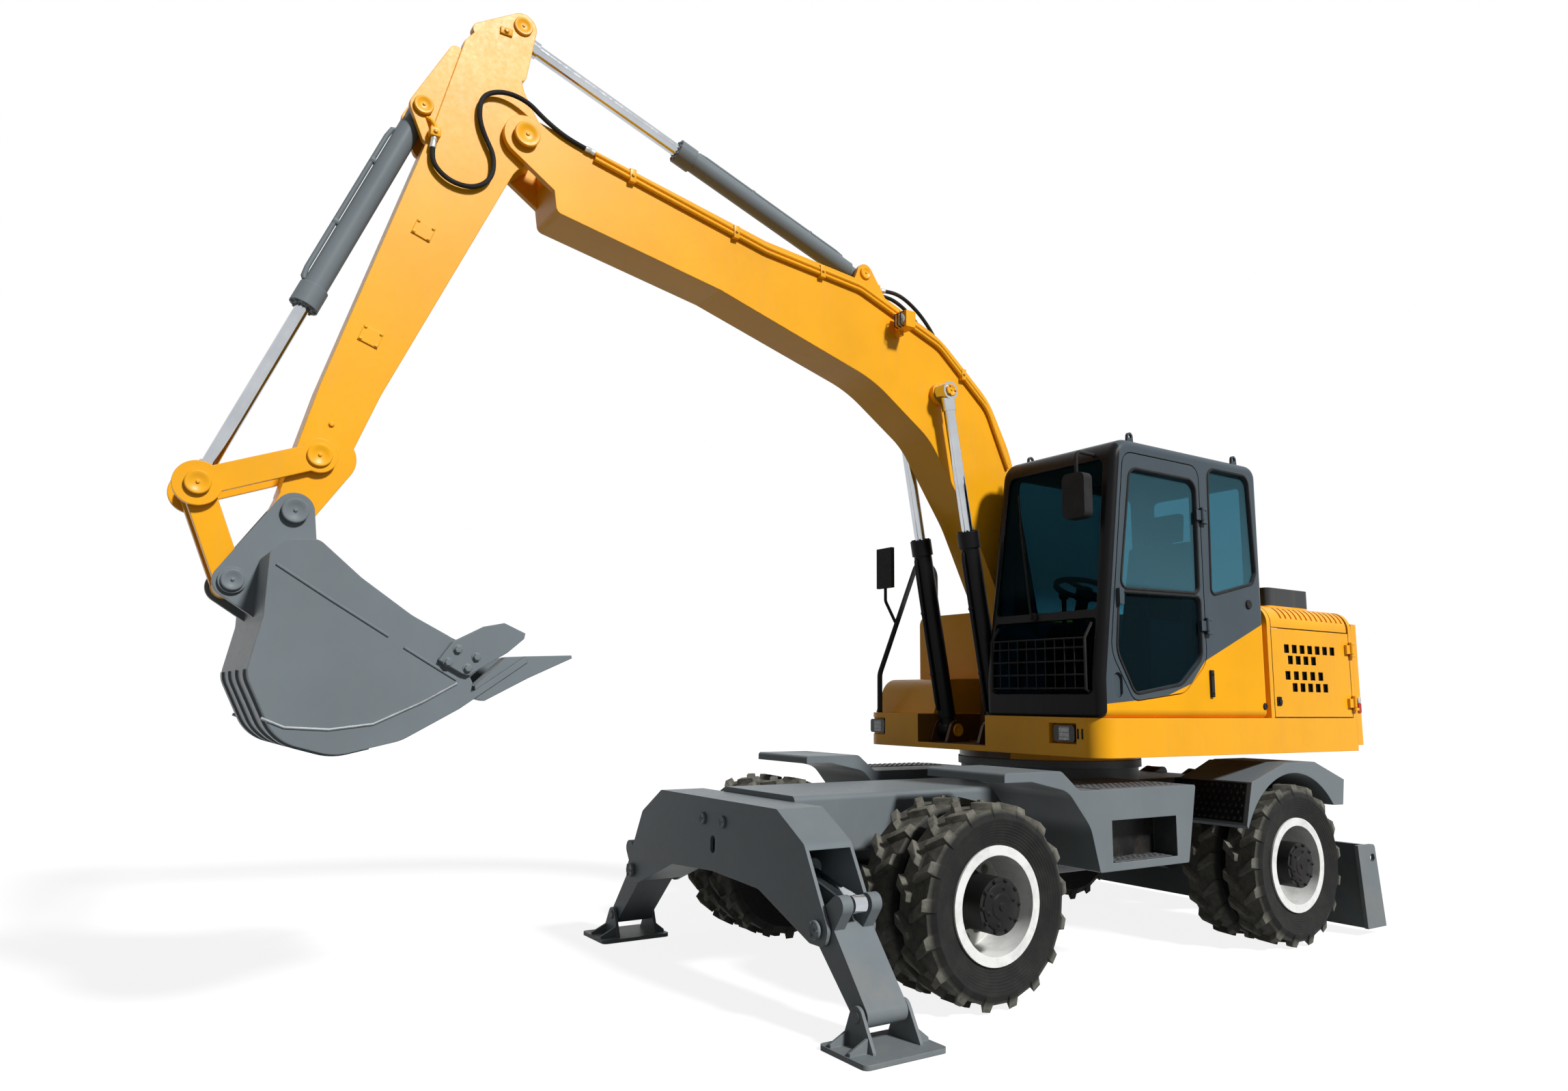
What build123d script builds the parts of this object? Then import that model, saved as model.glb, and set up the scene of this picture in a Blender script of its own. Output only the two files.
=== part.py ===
from build123d import *
import math
import os

# A wheeled excavator with twin tyres, front outriggers and a rear dozer blade.
# Working axes while modelling: x forward, y left, z up from the ground, zero on the slewing axis.
# The finished pieces move along x by SLEW_X, so that zero is under the middle of the machine.

# Wheels and axles
FRONT_AXLE_X = 1700
WHEELBASE = 2700
REAR_AXLE_X = FRONT_AXLE_X - WHEELBASE
TYRE_R = 515
TYRE_W = 254
TREAD_HALF = 100
TREAD_R = 478
SHOULDER_R = 432
LUGS = 17
LUG_SKEW = 8.5
LUG_INNER = 5.6
LUG_OUTER = 8.6
LUG_TOP = 0.72
LUG_MIDDLE = 8
AXLE_Z = TYRE_R
WHEEL_FACE_Y = 1200
RIM_W = 215
TWIN_PITCH = 295
RIM_FLANGE_R = 298
RIM_FLANGE_T = 12
RIM_R = 262
RIM_WALL = 14
DISC_Y = 930
DISC_T = 30
HAND_HOLES = 8
HAND_HOLE_R = 26
HUB_R = 142
HUB_END_Y = 1212
DRUM_R = 150
DRUM_Y = 830
SPINDLE_R = 45
SPINDLE_END_Y = 910
SPINDLE_FLANGE_T = 8
KINGPIN_Y = 740
KINGPIN_R = 32
FORK_R = 75
FORK_GAP = 170
FORK_LUG_T = 55
AXLE_HALF_D = 80
TIE_ARM = 150
TIE_ROD_R = 18
TIE_ROD_Z = AXLE_Z + 125
RUNNING_GAP = 0.3
PIN_GAP = 0.05

# Chassis
FRAME_HALF_W = 380
FRAME_Z0 = 700
FRAME_Z1 = 1020
FRAME_REAR_X = REAR_AXLE_X - 330
DRUM_SEAT_R = 600
RING_Z = 1120
RING_R = 620
RING_BORE_R = 500
RING_H = 50
SIDE_INNER_Y = 600
SIDE_OUTER_Y = 1200
SIDE_BOX_TOP = 1061
SIDE_BOX_Z = 615
SIDE_BOX_REAR_X = 134
SIDE_BOX_FRONT_X = 917
FENDER_TOP = 1172
FENDER_T = 50
FENDER_FRONT_X = 1640
REAR_FENDER_R = 585
STEP_DEPTH = 160

# Outriggers
BEAM_REAR_X = 2400
BEAM_FRONT_X = 2688
BEAM_TOP = 990
BEAM_PLATE = 20
BEAM_MOUTH_Y = 870
LEG_PIN = (1005, 470)
LEG_PIN_R = 34
LEG_EAR = (1120, 590)
ROD_EYE_SWEEP = ((1122, 614), (1089, 550), (1177, 574))
ROD_EYE_R = 42
ROD_EYE_HALF = 36
ROD_EYE_ROOM = 6
FOOT_PIN = (1300, 150)
FOOT_PIN_R = 26
LEG_SIDE_GAP = 8
PAD_X = (2330, 2796)
PAD_Y = (1165, 1510)
PAD_T = 22
RIB_Y = (FOOT_PIN[0] - 62, FOOT_PIN[0] + 80)
RIB_H = 62
RIB_T = 16
OUTRIGGER_BASE = (110, 873)
OUTRIGGER_BARREL = 660

# Dozer blade
BLADE_PIN = (REAR_AXLE_X - 250, 430)
BLADE_HALF_W = 1250
BLADE_TOP = 600
BLADE_LOW = 50
BLADE_ARM_Y = 300
BLADE_CYL_Y = 190
BLADE_CYL_BASE = (REAR_AXLE_X - 420, 1010)
BLADE_CYL_EYE = (REAR_AXLE_X - 600, 420)
BLADE_X = REAR_AXLE_X - 715
BLADE_HOLE = (BLADE_X - 98, 510)
BLADE_HOLE_R = 28
BLADE_END_T = 25
BLADE_BARREL = 350

# Upper structure
UPPER_HALF_W = 1140
UPPER_FRONT_X = 800
UPPER_REAR_X = -1940
DECK_Z0 = 1225
DECK_Z1 = 1455
BAY_FLOOR = 1262
SKIRT_T = 34
CAB_Y0 = 200
CAB_WALL = 45
CAB_REAR_X = -870
CAB_FRONT_X = 788
CAB_TOP = 3150
DOOR_HINGE_X = -215
DOOR_TOP = 3060
DOOR_GAP = 7
GLASS_T = 8
CAB_POCKET = (640, 1645)
CAB_POCKET_W = 78
CAB_POCKET_H = 150
CAB_POCKET_DEPTH = 16
HOOD_Z = 2215
HOOD_SIDE_Z = 2060
HOOD_REAR_GAP = 26
VENT = 58
VENT_DEPTH = 22
VENT_ROWS = ((1920, -1109, 94, 7), (1845, -1148, 94, 4), (1740, -1109, 100, 5), (1660, -1186, 94, 5))
SLOTS = 13
SLOT_X = (-1830, -1070)
SLOT_Z = (2125, 2200)
SLOT_W = 20
SLOT_DEPTH = 14
INTAKE_X = (-1750, -1230)
INTAKE_Y = (320, 950)
INTAKE_SLOTS = 5
BODY_FRONT_X = -890
PANEL_T = 40
TANK_TOP = 2200
CW_REAR_X = -2215
CW_Z0 = 1265
CW_TOP = 2126

# Boom, arm and bucket: pins are (x, z) at rest
BOOM_Y = -120
BOOM_HALF_W = 150
BOOM_PIN = (150, 1880)
BOOM_PIN_R = 45
ARM_PIN = (3952, 4527)
ARM_PIN_R = 42
ARM_HALF_W = 108
BUCKET_PIN = (4941, 2362)
BUCKET_PIN_R = 32
ROCKER_PIN = (4849, 2642)
ROD_PIN = (5333, 2452)
LINK_PIN = (5169, 2030)
BOOM_CYL_BASE = (600, 1345)
BOOM_CYL_EYE = (1020, 3600)
BOOM_CYL_OFFSET = 238
BOOM_BARREL = 1340
ARM_CYL_BASE = (1600, 4345)
ARM_CYL_EYE = (3984, 5183)
ARM_BARREL = 1450
BUCKET_CYL_BASE = (4481, 4547)
BUCKET_BARREL = 1250
ROCKER_END_R = 100
ROCKER_T = 26
ROCKER_BAR_HALF = 60
BUCKET_EAR_Y = 148
BUCKET_HALF_W = 500
BUCKET_WALL = 22
LIP = [(4239, 1482), (3930, 1700), (3946, 1725.5), (4253, 1508)]
ADAPTER = [(4165, 1527), (4174, 1585), (4032, 1722), (3944, 1728), (3712, 1740), (3708, 1726), (3925, 1625),
           (4126, 1518)]
TEETH = 5
TOOTH_REACH = 455
TOOTH_W = 78
CUTTER = [(4351, 1698), (4293, 1782), (4151, 1858), (4060, 1878), (3957, 1834), (3962, 1808), (4039, 1740),
          (4215, 1633), (4241, 1639)]
CUTTER_T = 24
WEAR_T = 10
WEAR_W = 70
WEAR_Y = (-400, -135, 135, 400)
WEAR_PART = [(4560, 1250), (5200, 1250), (5200, 1640), (5060, 1640), (4760, 1500)]

# Door and hood hinges
HINGE_PIN_R = 8
HINGE_R = 14
HINGE_OUT = 18
HINGE_HALF = 52
KNUCKLE_HALF = 32
HINGE_FOOT = 42
LUG_R = 12
CAB_HINGE_Z = (2030, 2740)
SIDE_HINGE_Z = (1560, 1940)
HOOD_HINGE_Y = (-560, 560)

# Hydraulic cylinders
NECK = 30
GLAND_L = 110
GLAND_STEP = 11
ROD_GAP = 0.4
OUTRIGGER_ROD = 640
BLADE_ROD = 375
BOOM_ROD = 1260
ARM_ROD = 1540
BUCKET_ROD = 1330

# Cab windows as (y, z, corner radius), lamps and lifting eyes
LAMP_Y = (850, -920)
LIFT_EYE_X = (380, -700)
LIFT_EYE_R = 14
MIRROR_X = (715, 790)
MIRROR_Y = (890, 1060)
MIRROR_Z = (2640, 2920)
MIRROR_ROOT_X = 575
MIRROR_ARM_Z = 3060
FRONT_UPPER = [(CAB_Y0 + 62, 2090, 30), (UPPER_HALF_W - 62, 2090, 30), (UPPER_HALF_W - 80, 3020, 50),
               (CAB_Y0 + 80, 3020, 50)]
FRONT_LOWER = [(CAB_Y0 + 62, 1590, 40), (UPPER_HALF_W - 62, 1590, 40), (UPPER_HALF_W - 62, 2040, 20),
               (CAB_Y0 + 62, 2040, 20)]
REAR_WINDOW = [(CAB_Y0 + 110, 2300, 40), (UPPER_HALF_W - 110, 2300, 40), (UPPER_HALF_W - 110, 3020, 40),
               (CAB_Y0 + 110, 3020, 40)]

SLEW_X = -(ROD_PIN[0] + ROCKER_END_R + CW_REAR_X) / 2


# Shape helpers

def outline(points):
    """Closed face through (a, b) or (a, b, corner radius) points."""
    corners = [(point[0], point[1]) for point in points]
    radii = [point[2] if len(point) == 3 else 0 for point in points]
    return make_face(FilletPolyline(*corners, radius=radii, close=True).edges())


def band(circles):
    """Face of the tight band around circles (a, b, radius)."""
    return make_hull([edge for a, b, r in circles for edge in (Pos(a, b) * Circle(r)).edges()])


def along_x(face, x0, x1):
    """Prism of a face drawn in (y, z), from x0 to x1."""
    return extrude(Plane(origin=(x0, 0, 0), x_dir=(0, 1, 0), z_dir=(1, 0, 0)) * face, amount=x1 - x0)


def along_y(face, y0, y1):
    """Prism of a face drawn in (x, z), from y0 to y1."""
    return extrude(Plane(origin=(0, y1, 0), x_dir=(1, 0, 0), z_dir=(0, -1, 0)) * face, amount=y1 - y0)


def along_z(face, z0, z1):
    """Prism of a face drawn in (x, y), from z0 to z1."""
    return extrude(Pos(0, 0, z0) * face, amount=z1 - z0)


def block(x, y, z):
    """Box between the two values of each pair."""
    middle = [(low + high) / 2 for low, high in (x, y, z)]
    return Pos(*middle) * Box(x[1] - x[0], y[1] - y[0], z[1] - z[0])


def rod_x(y, z, radius, x0, x1):
    return along_x(Pos(y, z) * Circle(radius), x0, x1)


def rod_y(x, z, radius, y0, y1):
    return along_y(Pos(x, z) * Circle(radius), y0, y1)


def rod_z(x, y, radius, z0, z1):
    return along_z(Pos(x, y) * Circle(radius), z0, z1)


def ring_y(inner, outer, y0, y1):
    """Ring about the y axis."""
    return along_y(Circle(outer) - Circle(inner), y0, y1)


def mirrored(shape):
    """The same piece on the other side of the machine."""
    return mirror(shape, about=Plane.XZ)


def tube(points, radius, bend):
    """Round bar along straight runs joined by bends."""
    path = FilletPolyline(*points, radius=bend)
    start = Plane(origin=path @ 0, z_dir=path % 0)
    return sweep(start * Circle(radius), path=path)


def together(*shapes):
    """Several solids that share a node."""
    solids = [solid for shape in shapes for solid in shape.solids()]
    return Compound(children=solids)


# Hydraulic cylinders

def cylinder_place(base, eye, pin_axis):
    """Plane at the base pin with x along the cylinder and y along its pins."""
    axis = (Vector(*eye) - Vector(*base)).normalized()
    return Plane(origin=base, x_dir=axis, z_dir=axis.cross(Vector(*pin_axis)))


def barrel_shape(length, radius, rod_radius, eye_radius, eye_half, pin_radius, bore_start):
    """Barrel along x from its base eye at zero, with a gland at the far end and a bore for the rod."""
    neck_end = eye_radius + NECK
    shape = rod_x(0, 0, eye_half - 2, eye_radius * 0.6, neck_end + 1)
    shape += rod_x(0, 0, radius, neck_end, length)
    shape += rod_x(0, 0, radius + GLAND_STEP, length - GLAND_L, length)
    shape += along_y(Circle(eye_radius), -eye_half, eye_half)
    shape -= rod_x(0, 0, rod_radius + ROD_GAP, bore_start, length + 1)
    return shape - along_y(Circle(pin_radius + PIN_GAP), -eye_half - 1, eye_half + 1)


def rod_shape(rest, length, radius, eye_radius, eye_half, collar=70):
    """Rod along x whose eye is centred at rest; the eye holds its own pin."""
    shape = rod_x(0, 0, radius, rest - length, rest - eye_radius * 0.6)
    shape += rod_x(0, 0, radius + 9, rest - eye_radius - collar, rest - eye_radius * 0.6)
    return shape + Pos(rest, 0, 0) * along_y(Circle(eye_radius), -eye_half, eye_half)


def spaced(p, q):
    return math.hypot(q[0] - p[0], q[1] - p[1])


# Wheels, axles and steering

def strip(ring, other):
    """Triangles between two closed rings of (angle, radius, y), each in order of angle."""
    turn = 2 * math.pi
    left = ring + [(ring[0][0] + turn, *ring[0][1:])]
    first = min(range(len(other)), key=lambda k: abs(other[k][0] - ring[0][0]))
    right = other[first:] + [(angle + turn, r, y) for angle, r, y in other[:first + 1]]
    triangles = []
    i = 0
    k = 0
    while i < len(left) - 1 or k < len(right) - 1:
        ahead = i < len(left) - 1 and (k == len(right) - 1 or left[i + 1][0] <= right[k + 1][0])
        if ahead:
            triangles.append((left[i], left[i + 1], right[k]))
            i += 1
        else:
            triangles.append((left[i], right[k + 1], right[k]))
            k += 1
    return triangles


def tyre_side(side):
    """One half of a tyre's skin as triangles, with its middle ring and its bead ring."""
    bead = (RIM_W - 2 * RIM_FLANGE_T) / 2 - 0.5
    fit = 1 / math.cos(math.pi / LUGS)
    pitch = 2 * math.pi / LUGS
    skew = math.radians(LUG_SKEW)
    inner = math.radians(LUG_INNER) / 2
    outer = math.radians(LUG_OUTER) / 2
    middle, edge, shoulder, flange, seat = [], [], [], [], []
    triangles = []
    for i in range(LUGS):
        a = pitch * (i + (0.5 if side < 0 else 0))
        feet = [(a + skew - inner, TREAD_R, side * LUG_MIDDLE), (a + skew + inner, TREAD_R, side * LUG_MIDDLE)]
        ends = [(a - outer, TREAD_R, side * TREAD_HALF), (a + outer, TREAD_R, side * TREAD_HALF)]
        down = [(a - outer, SHOULDER_R, side * TYRE_W / 2), (a + outer, SHOULDER_R, side * TYRE_W / 2)]
        near = [(a + skew - inner * LUG_TOP, TYRE_R, side * (LUG_MIDDLE + 5)),
                (a + skew + inner * LUG_TOP, TYRE_R, side * (LUG_MIDDLE + 5))]
        far = [(a - outer * LUG_TOP, TYRE_R - 4, side * (TREAD_HALF + 2)),
               (a + outer * LUG_TOP, TYRE_R - 4, side * (TREAD_HALF + 2))]
        triangles += [(near[0], near[1], far[1]), (near[0], far[1], far[0])]
        triangles += [(feet[0], feet[1], near[1]), (feet[0], near[1], near[0])]
        triangles += [(far[0], far[1], down[1]), (far[0], down[1], down[0])]
        for k in (0, 1):
            triangles += [(feet[k], near[k], far[k]), (feet[k], far[k], ends[k]), (ends[k], far[k], down[k])]
        middle += feet
        edge.append(ends)
        shoulder += down
        flange.append((a, (RIM_FLANGE_R + 2) * fit, side * bead))
        seat.append((a, (RIM_R + 0.3) * fit, side * bead))
    for i in range(LUGS):
        j = (i + 1) % LUGS
        on = 2 * math.pi if j == 0 else 0
        floor = [middle[2 * i + 1], edge[i][1], shoulder[2 * i + 1]]
        after = [(p[0] + on, p[1], p[2]) for p in (middle[2 * j], edge[j][0], shoulder[2 * j])]
        for k in (0, 1):
            triangles += [(floor[k], after[k], after[k + 1]), (floor[k], after[k + 1], floor[k + 1])]
    triangles += strip(shoulder, flange) + strip(flange, seat)
    return triangles, middle, seat


def tyre(centre):
    """One tyre about the y axis, with slanting lugs that lead at the middle of the tread."""
    left, left_middle, left_seat = tyre_side(1)
    right, right_middle, right_seat = tyre_side(-1)
    triangles = left + right + strip(left_middle, right_middle) + strip(left_seat, right_seat)
    faces = []
    for triangle in triangles:
        corners = [(r * math.sin(a), centre + y, r * math.cos(a)) for a, r, y in triangle]
        faces.append(Face(Wire.make_polygon(corners, close=True)))
    return Solid(Shell(faces))


def twin_tyres():
    outer = WHEEL_FACE_Y - RIM_W / 2
    return [tyre(outer), tyre(outer - TWIN_PITCH)]


def twin_rim():
    """Two rims on one hub, with the deep dish to the outside."""
    outer = WHEEL_FACE_Y - RIM_W
    inner = outer - TWIN_PITCH
    shape = ring_y(RIM_R - RIM_WALL, RIM_R, inner, WHEEL_FACE_Y)
    for edge in (inner, outer):
        shape += ring_y(RIM_R - 1, RIM_FLANGE_R, edge, edge + RIM_FLANGE_T)
        shape += ring_y(RIM_R - 1, RIM_FLANGE_R, edge + RIM_W - RIM_FLANGE_T, edge + RIM_W)
    disc = along_y(Circle(RIM_R - RIM_WALL + 1), DISC_Y, DISC_Y + DISC_T)
    hand_ring = (DRUM_R + RIM_R - RIM_WALL) / 2
    for hole in PolarLocations(hand_ring, HAND_HOLES):
        disc -= along_y(hole * Circle(HAND_HOLE_R), DISC_Y - 1, DISC_Y + DISC_T + 1)
    shape += disc
    shape += along_y(Circle(DRUM_R), DRUM_Y, DISC_Y + DISC_T + 20)
    shape += along_y(Circle(HUB_R), DISC_Y, HUB_END_Y)
    return shape - along_y(Circle(SPINDLE_R + PIN_GAP), DRUM_Y - 1, SPINDLE_END_Y + 2)


def spindle():
    """Flange and stub that a hub turns on, about the y axis."""
    flange = along_y(Circle(DRUM_R * 0.75), DRUM_Y - SPINDLE_FLANGE_T, DRUM_Y - RUNNING_GAP)
    return flange + along_y(Circle(SPINDLE_R), DRUM_Y - SPINDLE_FLANGE_T, SPINDLE_END_Y)


def knuckle():
    """Left steering knuckle, with its kingpin, hub spindle and track arm."""
    half = FORK_GAP / 2 - 0.5
    body = along_z(Pos(FRONT_AXLE_X, KINGPIN_Y) * Circle(FORK_R - 5), AXLE_Z - half, AXLE_Z + half)
    pin_half = FORK_GAP / 2 + FORK_LUG_T + 12
    body += along_z(Pos(FRONT_AXLE_X, KINGPIN_Y) * Circle(KINGPIN_R), AXLE_Z - pin_half, AXLE_Z + pin_half)
    body += Pos(FRONT_AXLE_X, 0, AXLE_Z) * spindle()
    neck = (FRONT_AXLE_X - 60, FRONT_AXLE_X + 60)
    body += block(neck, (KINGPIN_Y, DRUM_Y - SPINDLE_FLANGE_T), (AXLE_Z - half, AXLE_Z + half))
    tie_x = FRONT_AXLE_X - TIE_ARM
    arm_top = TIE_ROD_Z - TIE_ROD_R - 12
    body += block((tie_x, FRONT_AXLE_X), (KINGPIN_Y - 22, KINGPIN_Y + 22), (AXLE_Z + 5, AXLE_Z + 60))
    body += along_z(Pos(tie_x, KINGPIN_Y) * Circle(28), AXLE_Z + 5, arm_top)
    return body + along_z(Pos(tie_x, KINGPIN_Y) * Circle(10), arm_top, TIE_ROD_Z + 25)


def tie_rod():
    """Track rod between the two knuckles' arms."""
    tie_x = FRONT_AXLE_X - TIE_ARM
    eye_low = TIE_ROD_Z - TIE_ROD_R - 12 + RUNNING_GAP
    shape = rod_y(tie_x, TIE_ROD_Z, TIE_ROD_R, -KINGPIN_Y + 15, KINGPIN_Y - 15)
    for side in (-1, 1):
        shape += along_z(Pos(tie_x, side * KINGPIN_Y) * Circle(27), eye_low, TIE_ROD_Z + 24)
    for side in (-1, 1):
        shape -= along_z(Pos(tie_x, side * KINGPIN_Y) * Circle(10 + PIN_GAP), eye_low - 1, TIE_ROD_Z + 30)
    return shape


def front_axle():
    """Steered axle: centre housing, tapered arms and a fork at each end."""
    fork_half = FORK_GAP / 2 + FORK_LUG_T
    arm = block((FRONT_AXLE_X - AXLE_HALF_D, FRONT_AXLE_X + AXLE_HALF_D), (0, 560), (AXLE_Z - 78, AXLE_Z + 78))
    web = block((FRONT_AXLE_X - AXLE_HALF_D, FRONT_AXLE_X + AXLE_HALF_D), (555, 650),
                (AXLE_Z - fork_half, AXLE_Z + fork_half))
    lug = band([(FRONT_AXLE_X, KINGPIN_Y, FORK_R), (FRONT_AXLE_X, 620, AXLE_HALF_D)])
    lugs = along_z(lug, AXLE_Z + FORK_GAP / 2, AXLE_Z + fork_half)
    lugs += along_z(lug, AXLE_Z - fork_half, AXLE_Z - FORK_GAP / 2)
    side = arm + web + lugs
    side -= along_z(Pos(FRONT_AXLE_X, KINGPIN_Y) * Circle(KINGPIN_R + PIN_GAP), 0, FRAME_Z0)
    shape = side + mirrored(side)
    shape += rod_x(0, AXLE_Z, 150, FRONT_AXLE_X - 100, FRONT_AXLE_X + 170)
    return shape + block((FRONT_AXLE_X - 95, FRONT_AXLE_X + 95), (-120, 120), (AXLE_Z, FRAME_Z0))


def rear_axle():
    """Rigid axle with its differential and frame pads."""
    end = DRUM_Y - SPINDLE_FLANGE_T
    shape = rod_y(REAR_AXLE_X, AXLE_Z, 82, -end, end)
    stub = Pos(REAR_AXLE_X, 0, AXLE_Z) * spindle()
    shape += stub + mirrored(stub)
    shape += rod_x(0, AXLE_Z, 165, REAR_AXLE_X - 150, REAR_AXLE_X + 150)
    for side in (-1, 1):
        pad = (side * 260 - 70, side * 260 + 70)
        shape += block((REAR_AXLE_X - 90, REAR_AXLE_X + 90), pad, (AXLE_Z, FRAME_Z0))
    return shape


def drive_line():
    """Gearbox under the frame and the shafts to both axles."""
    gearbox = block((-330, 220), (-210, 210), (AXLE_Z - 110, FRAME_Z0))
    shape = fillet(gearbox.edges().filter_by(Axis.X), 60)
    shape += rod_x(0, AXLE_Z, 42, 220, FRONT_AXLE_X - 100)
    return shape + rod_x(0, AXLE_Z, 42, REAR_AXLE_X + 150, -330)


# Chassis

def chassis_frame():
    """Box frame with the slewing seat, the cross-members and the blade's brackets."""
    shape = block((FRAME_REAR_X, BEAM_REAR_X), (-FRAME_HALF_W, FRAME_HALF_W), (FRAME_Z0, FRAME_Z1))
    shape = fillet(shape.edges().filter_by(Axis.X), 30)
    shape += along_z(Circle(DRUM_SEAT_R), FRAME_Z0 + 120, RING_Z)
    for x0, x1 in ((300, 520), (-300, -200), (REAR_AXLE_X - 90, REAR_AXLE_X + 90)):
        shape += block((x0, x1), (-SIDE_INNER_Y, SIDE_INNER_Y), (FRAME_Z0 + 130, FRAME_Z1 - 20))
    ear = band([(*BLADE_PIN, 70), (BLADE_PIN[0] + 10, FRAME_Z0 + 60, 100)])
    for side in (-1, 1):
        inner = side * (BLADE_ARM_Y - 62)
        outer = side * (BLADE_ARM_Y + 62)
        for y in (inner, outer):
            shape += along_y(ear, y - 14, y + 14)
        shape += rod_y(*BLADE_PIN, 30, min(inner, outer), max(inner, outer))
    tower = band([(*BLADE_CYL_BASE, 46), (FRAME_REAR_X, FRAME_Z1 - 40, 40), (FRAME_REAR_X, FRAME_Z0 + 120, 40)])
    for side in (-1, 1):
        for offset in (-64, 64):
            y = side * BLADE_CYL_Y + offset
            shape += along_y(tower, y - 10, y + 10)
        shape += rod_y(*BLADE_CYL_BASE, 24, side * BLADE_CYL_Y - 64, side * BLADE_CYL_Y + 64)
    return shape


def slewing_ring():
    return along_z(Circle(RING_R) - Circle(RING_BORE_R), RING_Z, RING_Z + RING_H)


def side_fender():
    """Left front mudguard in one with the step box behind it."""
    top = [(FENDER_FRONT_X, FENDER_TOP, 20), (1211, FENDER_TOP, 60), (1069, SIDE_BOX_TOP, 60),
           (SIDE_BOX_REAR_X - 91, SIDE_BOX_TOP, 15), (SIDE_BOX_REAR_X, SIDE_BOX_Z, 15),
           (SIDE_BOX_FRONT_X, SIDE_BOX_Z, 15), (985, 860, 200), (1160, FENDER_TOP - FENDER_T - 60, 160),
           (1440, FENDER_TOP - FENDER_T, 120), (FENDER_FRONT_X, FENDER_TOP - FENDER_T)]
    shape = along_y(outline(top), SIDE_INNER_Y, SIDE_OUTER_Y)
    recess = block((240, 810), (SIDE_OUTER_Y - STEP_DEPTH, SIDE_OUTER_Y + 1), (660, 890))
    return shape - recess


def rear_fender():
    """Left rear mudguard with the web that hangs it on the frame."""
    start = math.radians(26)
    end = math.radians(142)
    crown = math.radians(88)
    at = [(REAR_AXLE_X + REAR_FENDER_R * math.cos(a), AXLE_Z + REAR_FENDER_R * math.sin(a))
          for a in (start, crown, end)]
    edges = [ThreePointArc(*at)]
    x = REAR_AXLE_X
    outer = [at[2], (x - 579, 873), (x - 608, 1040), (x - 256, 1167), (x + 84, 1167), (x + 467, 1055),
             (x + 541, 790), at[0]]
    edges += Polyline(*outer).edges()
    shape = along_y(make_face(edges), SIDE_INNER_Y + 80, SIDE_OUTER_Y)
    web = outline([(x - 450, 1050), (x + 380, 1050), (x + 84, 1160), (x - 256, 1160)])
    shape += along_y(web, SIDE_INNER_Y + 40, SIDE_INNER_Y + 90)
    return shape + block((x - 80, x + 80), (SIDE_INNER_Y, SIDE_INNER_Y + 60), (960, 1060))


def fenders():
    front = side_fender()
    rear = rear_fender()
    return together(front, mirrored(front), rear, mirrored(rear))


# Outriggers

def outrigger_beam():
    """Hollow arched beam, open at both ends, with the pins of the legs and of their cylinders."""
    right = [(640, BEAM_TOP, 30), (889, 844, 50), (1088, 480, 60), (1062, 396, 45), (940, 396, 40),
             (477, 576, 150)]
    left = [(-y, z, r) for y, z, r in reversed(right)]
    shape = along_x(outline(right + [(0, 600)] + left), BEAM_REAR_X, BEAM_FRONT_X)
    t = BEAM_PLATE
    inside = [(632, BEAM_TOP - t), (874, 836 - t), (1300, 836 - t), (1300, 300), (BEAM_MOUTH_Y, 300),
              (BEAM_MOUTH_Y, 440 + t), (480, 580 + t)]
    other = [(-y, z) for y, z in reversed(inside)]
    cavity = along_x(outline(inside + [(0, 603 + t)] + other), BEAM_REAR_X + t, BEAM_FRONT_X - t)
    shape -= cavity
    shape -= along_x(Pos(0, 743) * SlotOverall(95, 50, rotation=90), BEAM_FRONT_X - 2 * t, BEAM_FRONT_X + 1)
    for side in (-1, 1):
        shape += rod_x(side * LEG_PIN[0], LEG_PIN[1], LEG_PIN_R, BEAM_REAR_X + 1, BEAM_FRONT_X + 14)
        shape += rod_x(side * OUTRIGGER_BASE[0], OUTRIGGER_BASE[1], 26, BEAM_REAR_X + 1, BEAM_FRONT_X + 6)
    return shape


def leg_width():
    gap = BEAM_PLATE + LEG_SIDE_GAP
    return BEAM_REAR_X + gap, BEAM_FRONT_X - gap


def outrigger_leg():
    """Left leg: pivots on the beam, is pushed at its ear and carries the foot."""
    x0, x1 = leg_width()
    middle = (x0 + x1) / 2
    shape = along_x(band([(*LEG_PIN, 78), (*FOOT_PIN, 52)]), x0, x1)
    shape -= along_x(band([(1090, 390, 20), (1230, 230, 20)]), x0 + 30, x1 - 30)
    ear = band([(*LEG_PIN, 72), (*LEG_EAR, 48)])
    for start in (x0, x1 - 62):
        shape += along_x(ear, start, start + 62)
    sweep_room = band([(*at, ROD_EYE_R + ROD_EYE_ROOM) for at in ROD_EYE_SWEEP])
    shape -= along_x(sweep_room, middle - ROD_EYE_HALF - ROD_EYE_ROOM, middle + ROD_EYE_HALF + ROD_EYE_ROOM)
    shape += along_x(Pos(*LEG_PIN) * Circle(60), middle - 70, middle + 70)
    shape -= along_x(Pos(*LEG_PIN) * Circle(LEG_PIN_R + PIN_GAP), x0 - 1, x1 + 1)
    return shape - along_x(Pos(*FOOT_PIN) * Circle(FOOT_PIN_R + PIN_GAP), x0 - 1, x1 + 1)


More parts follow.
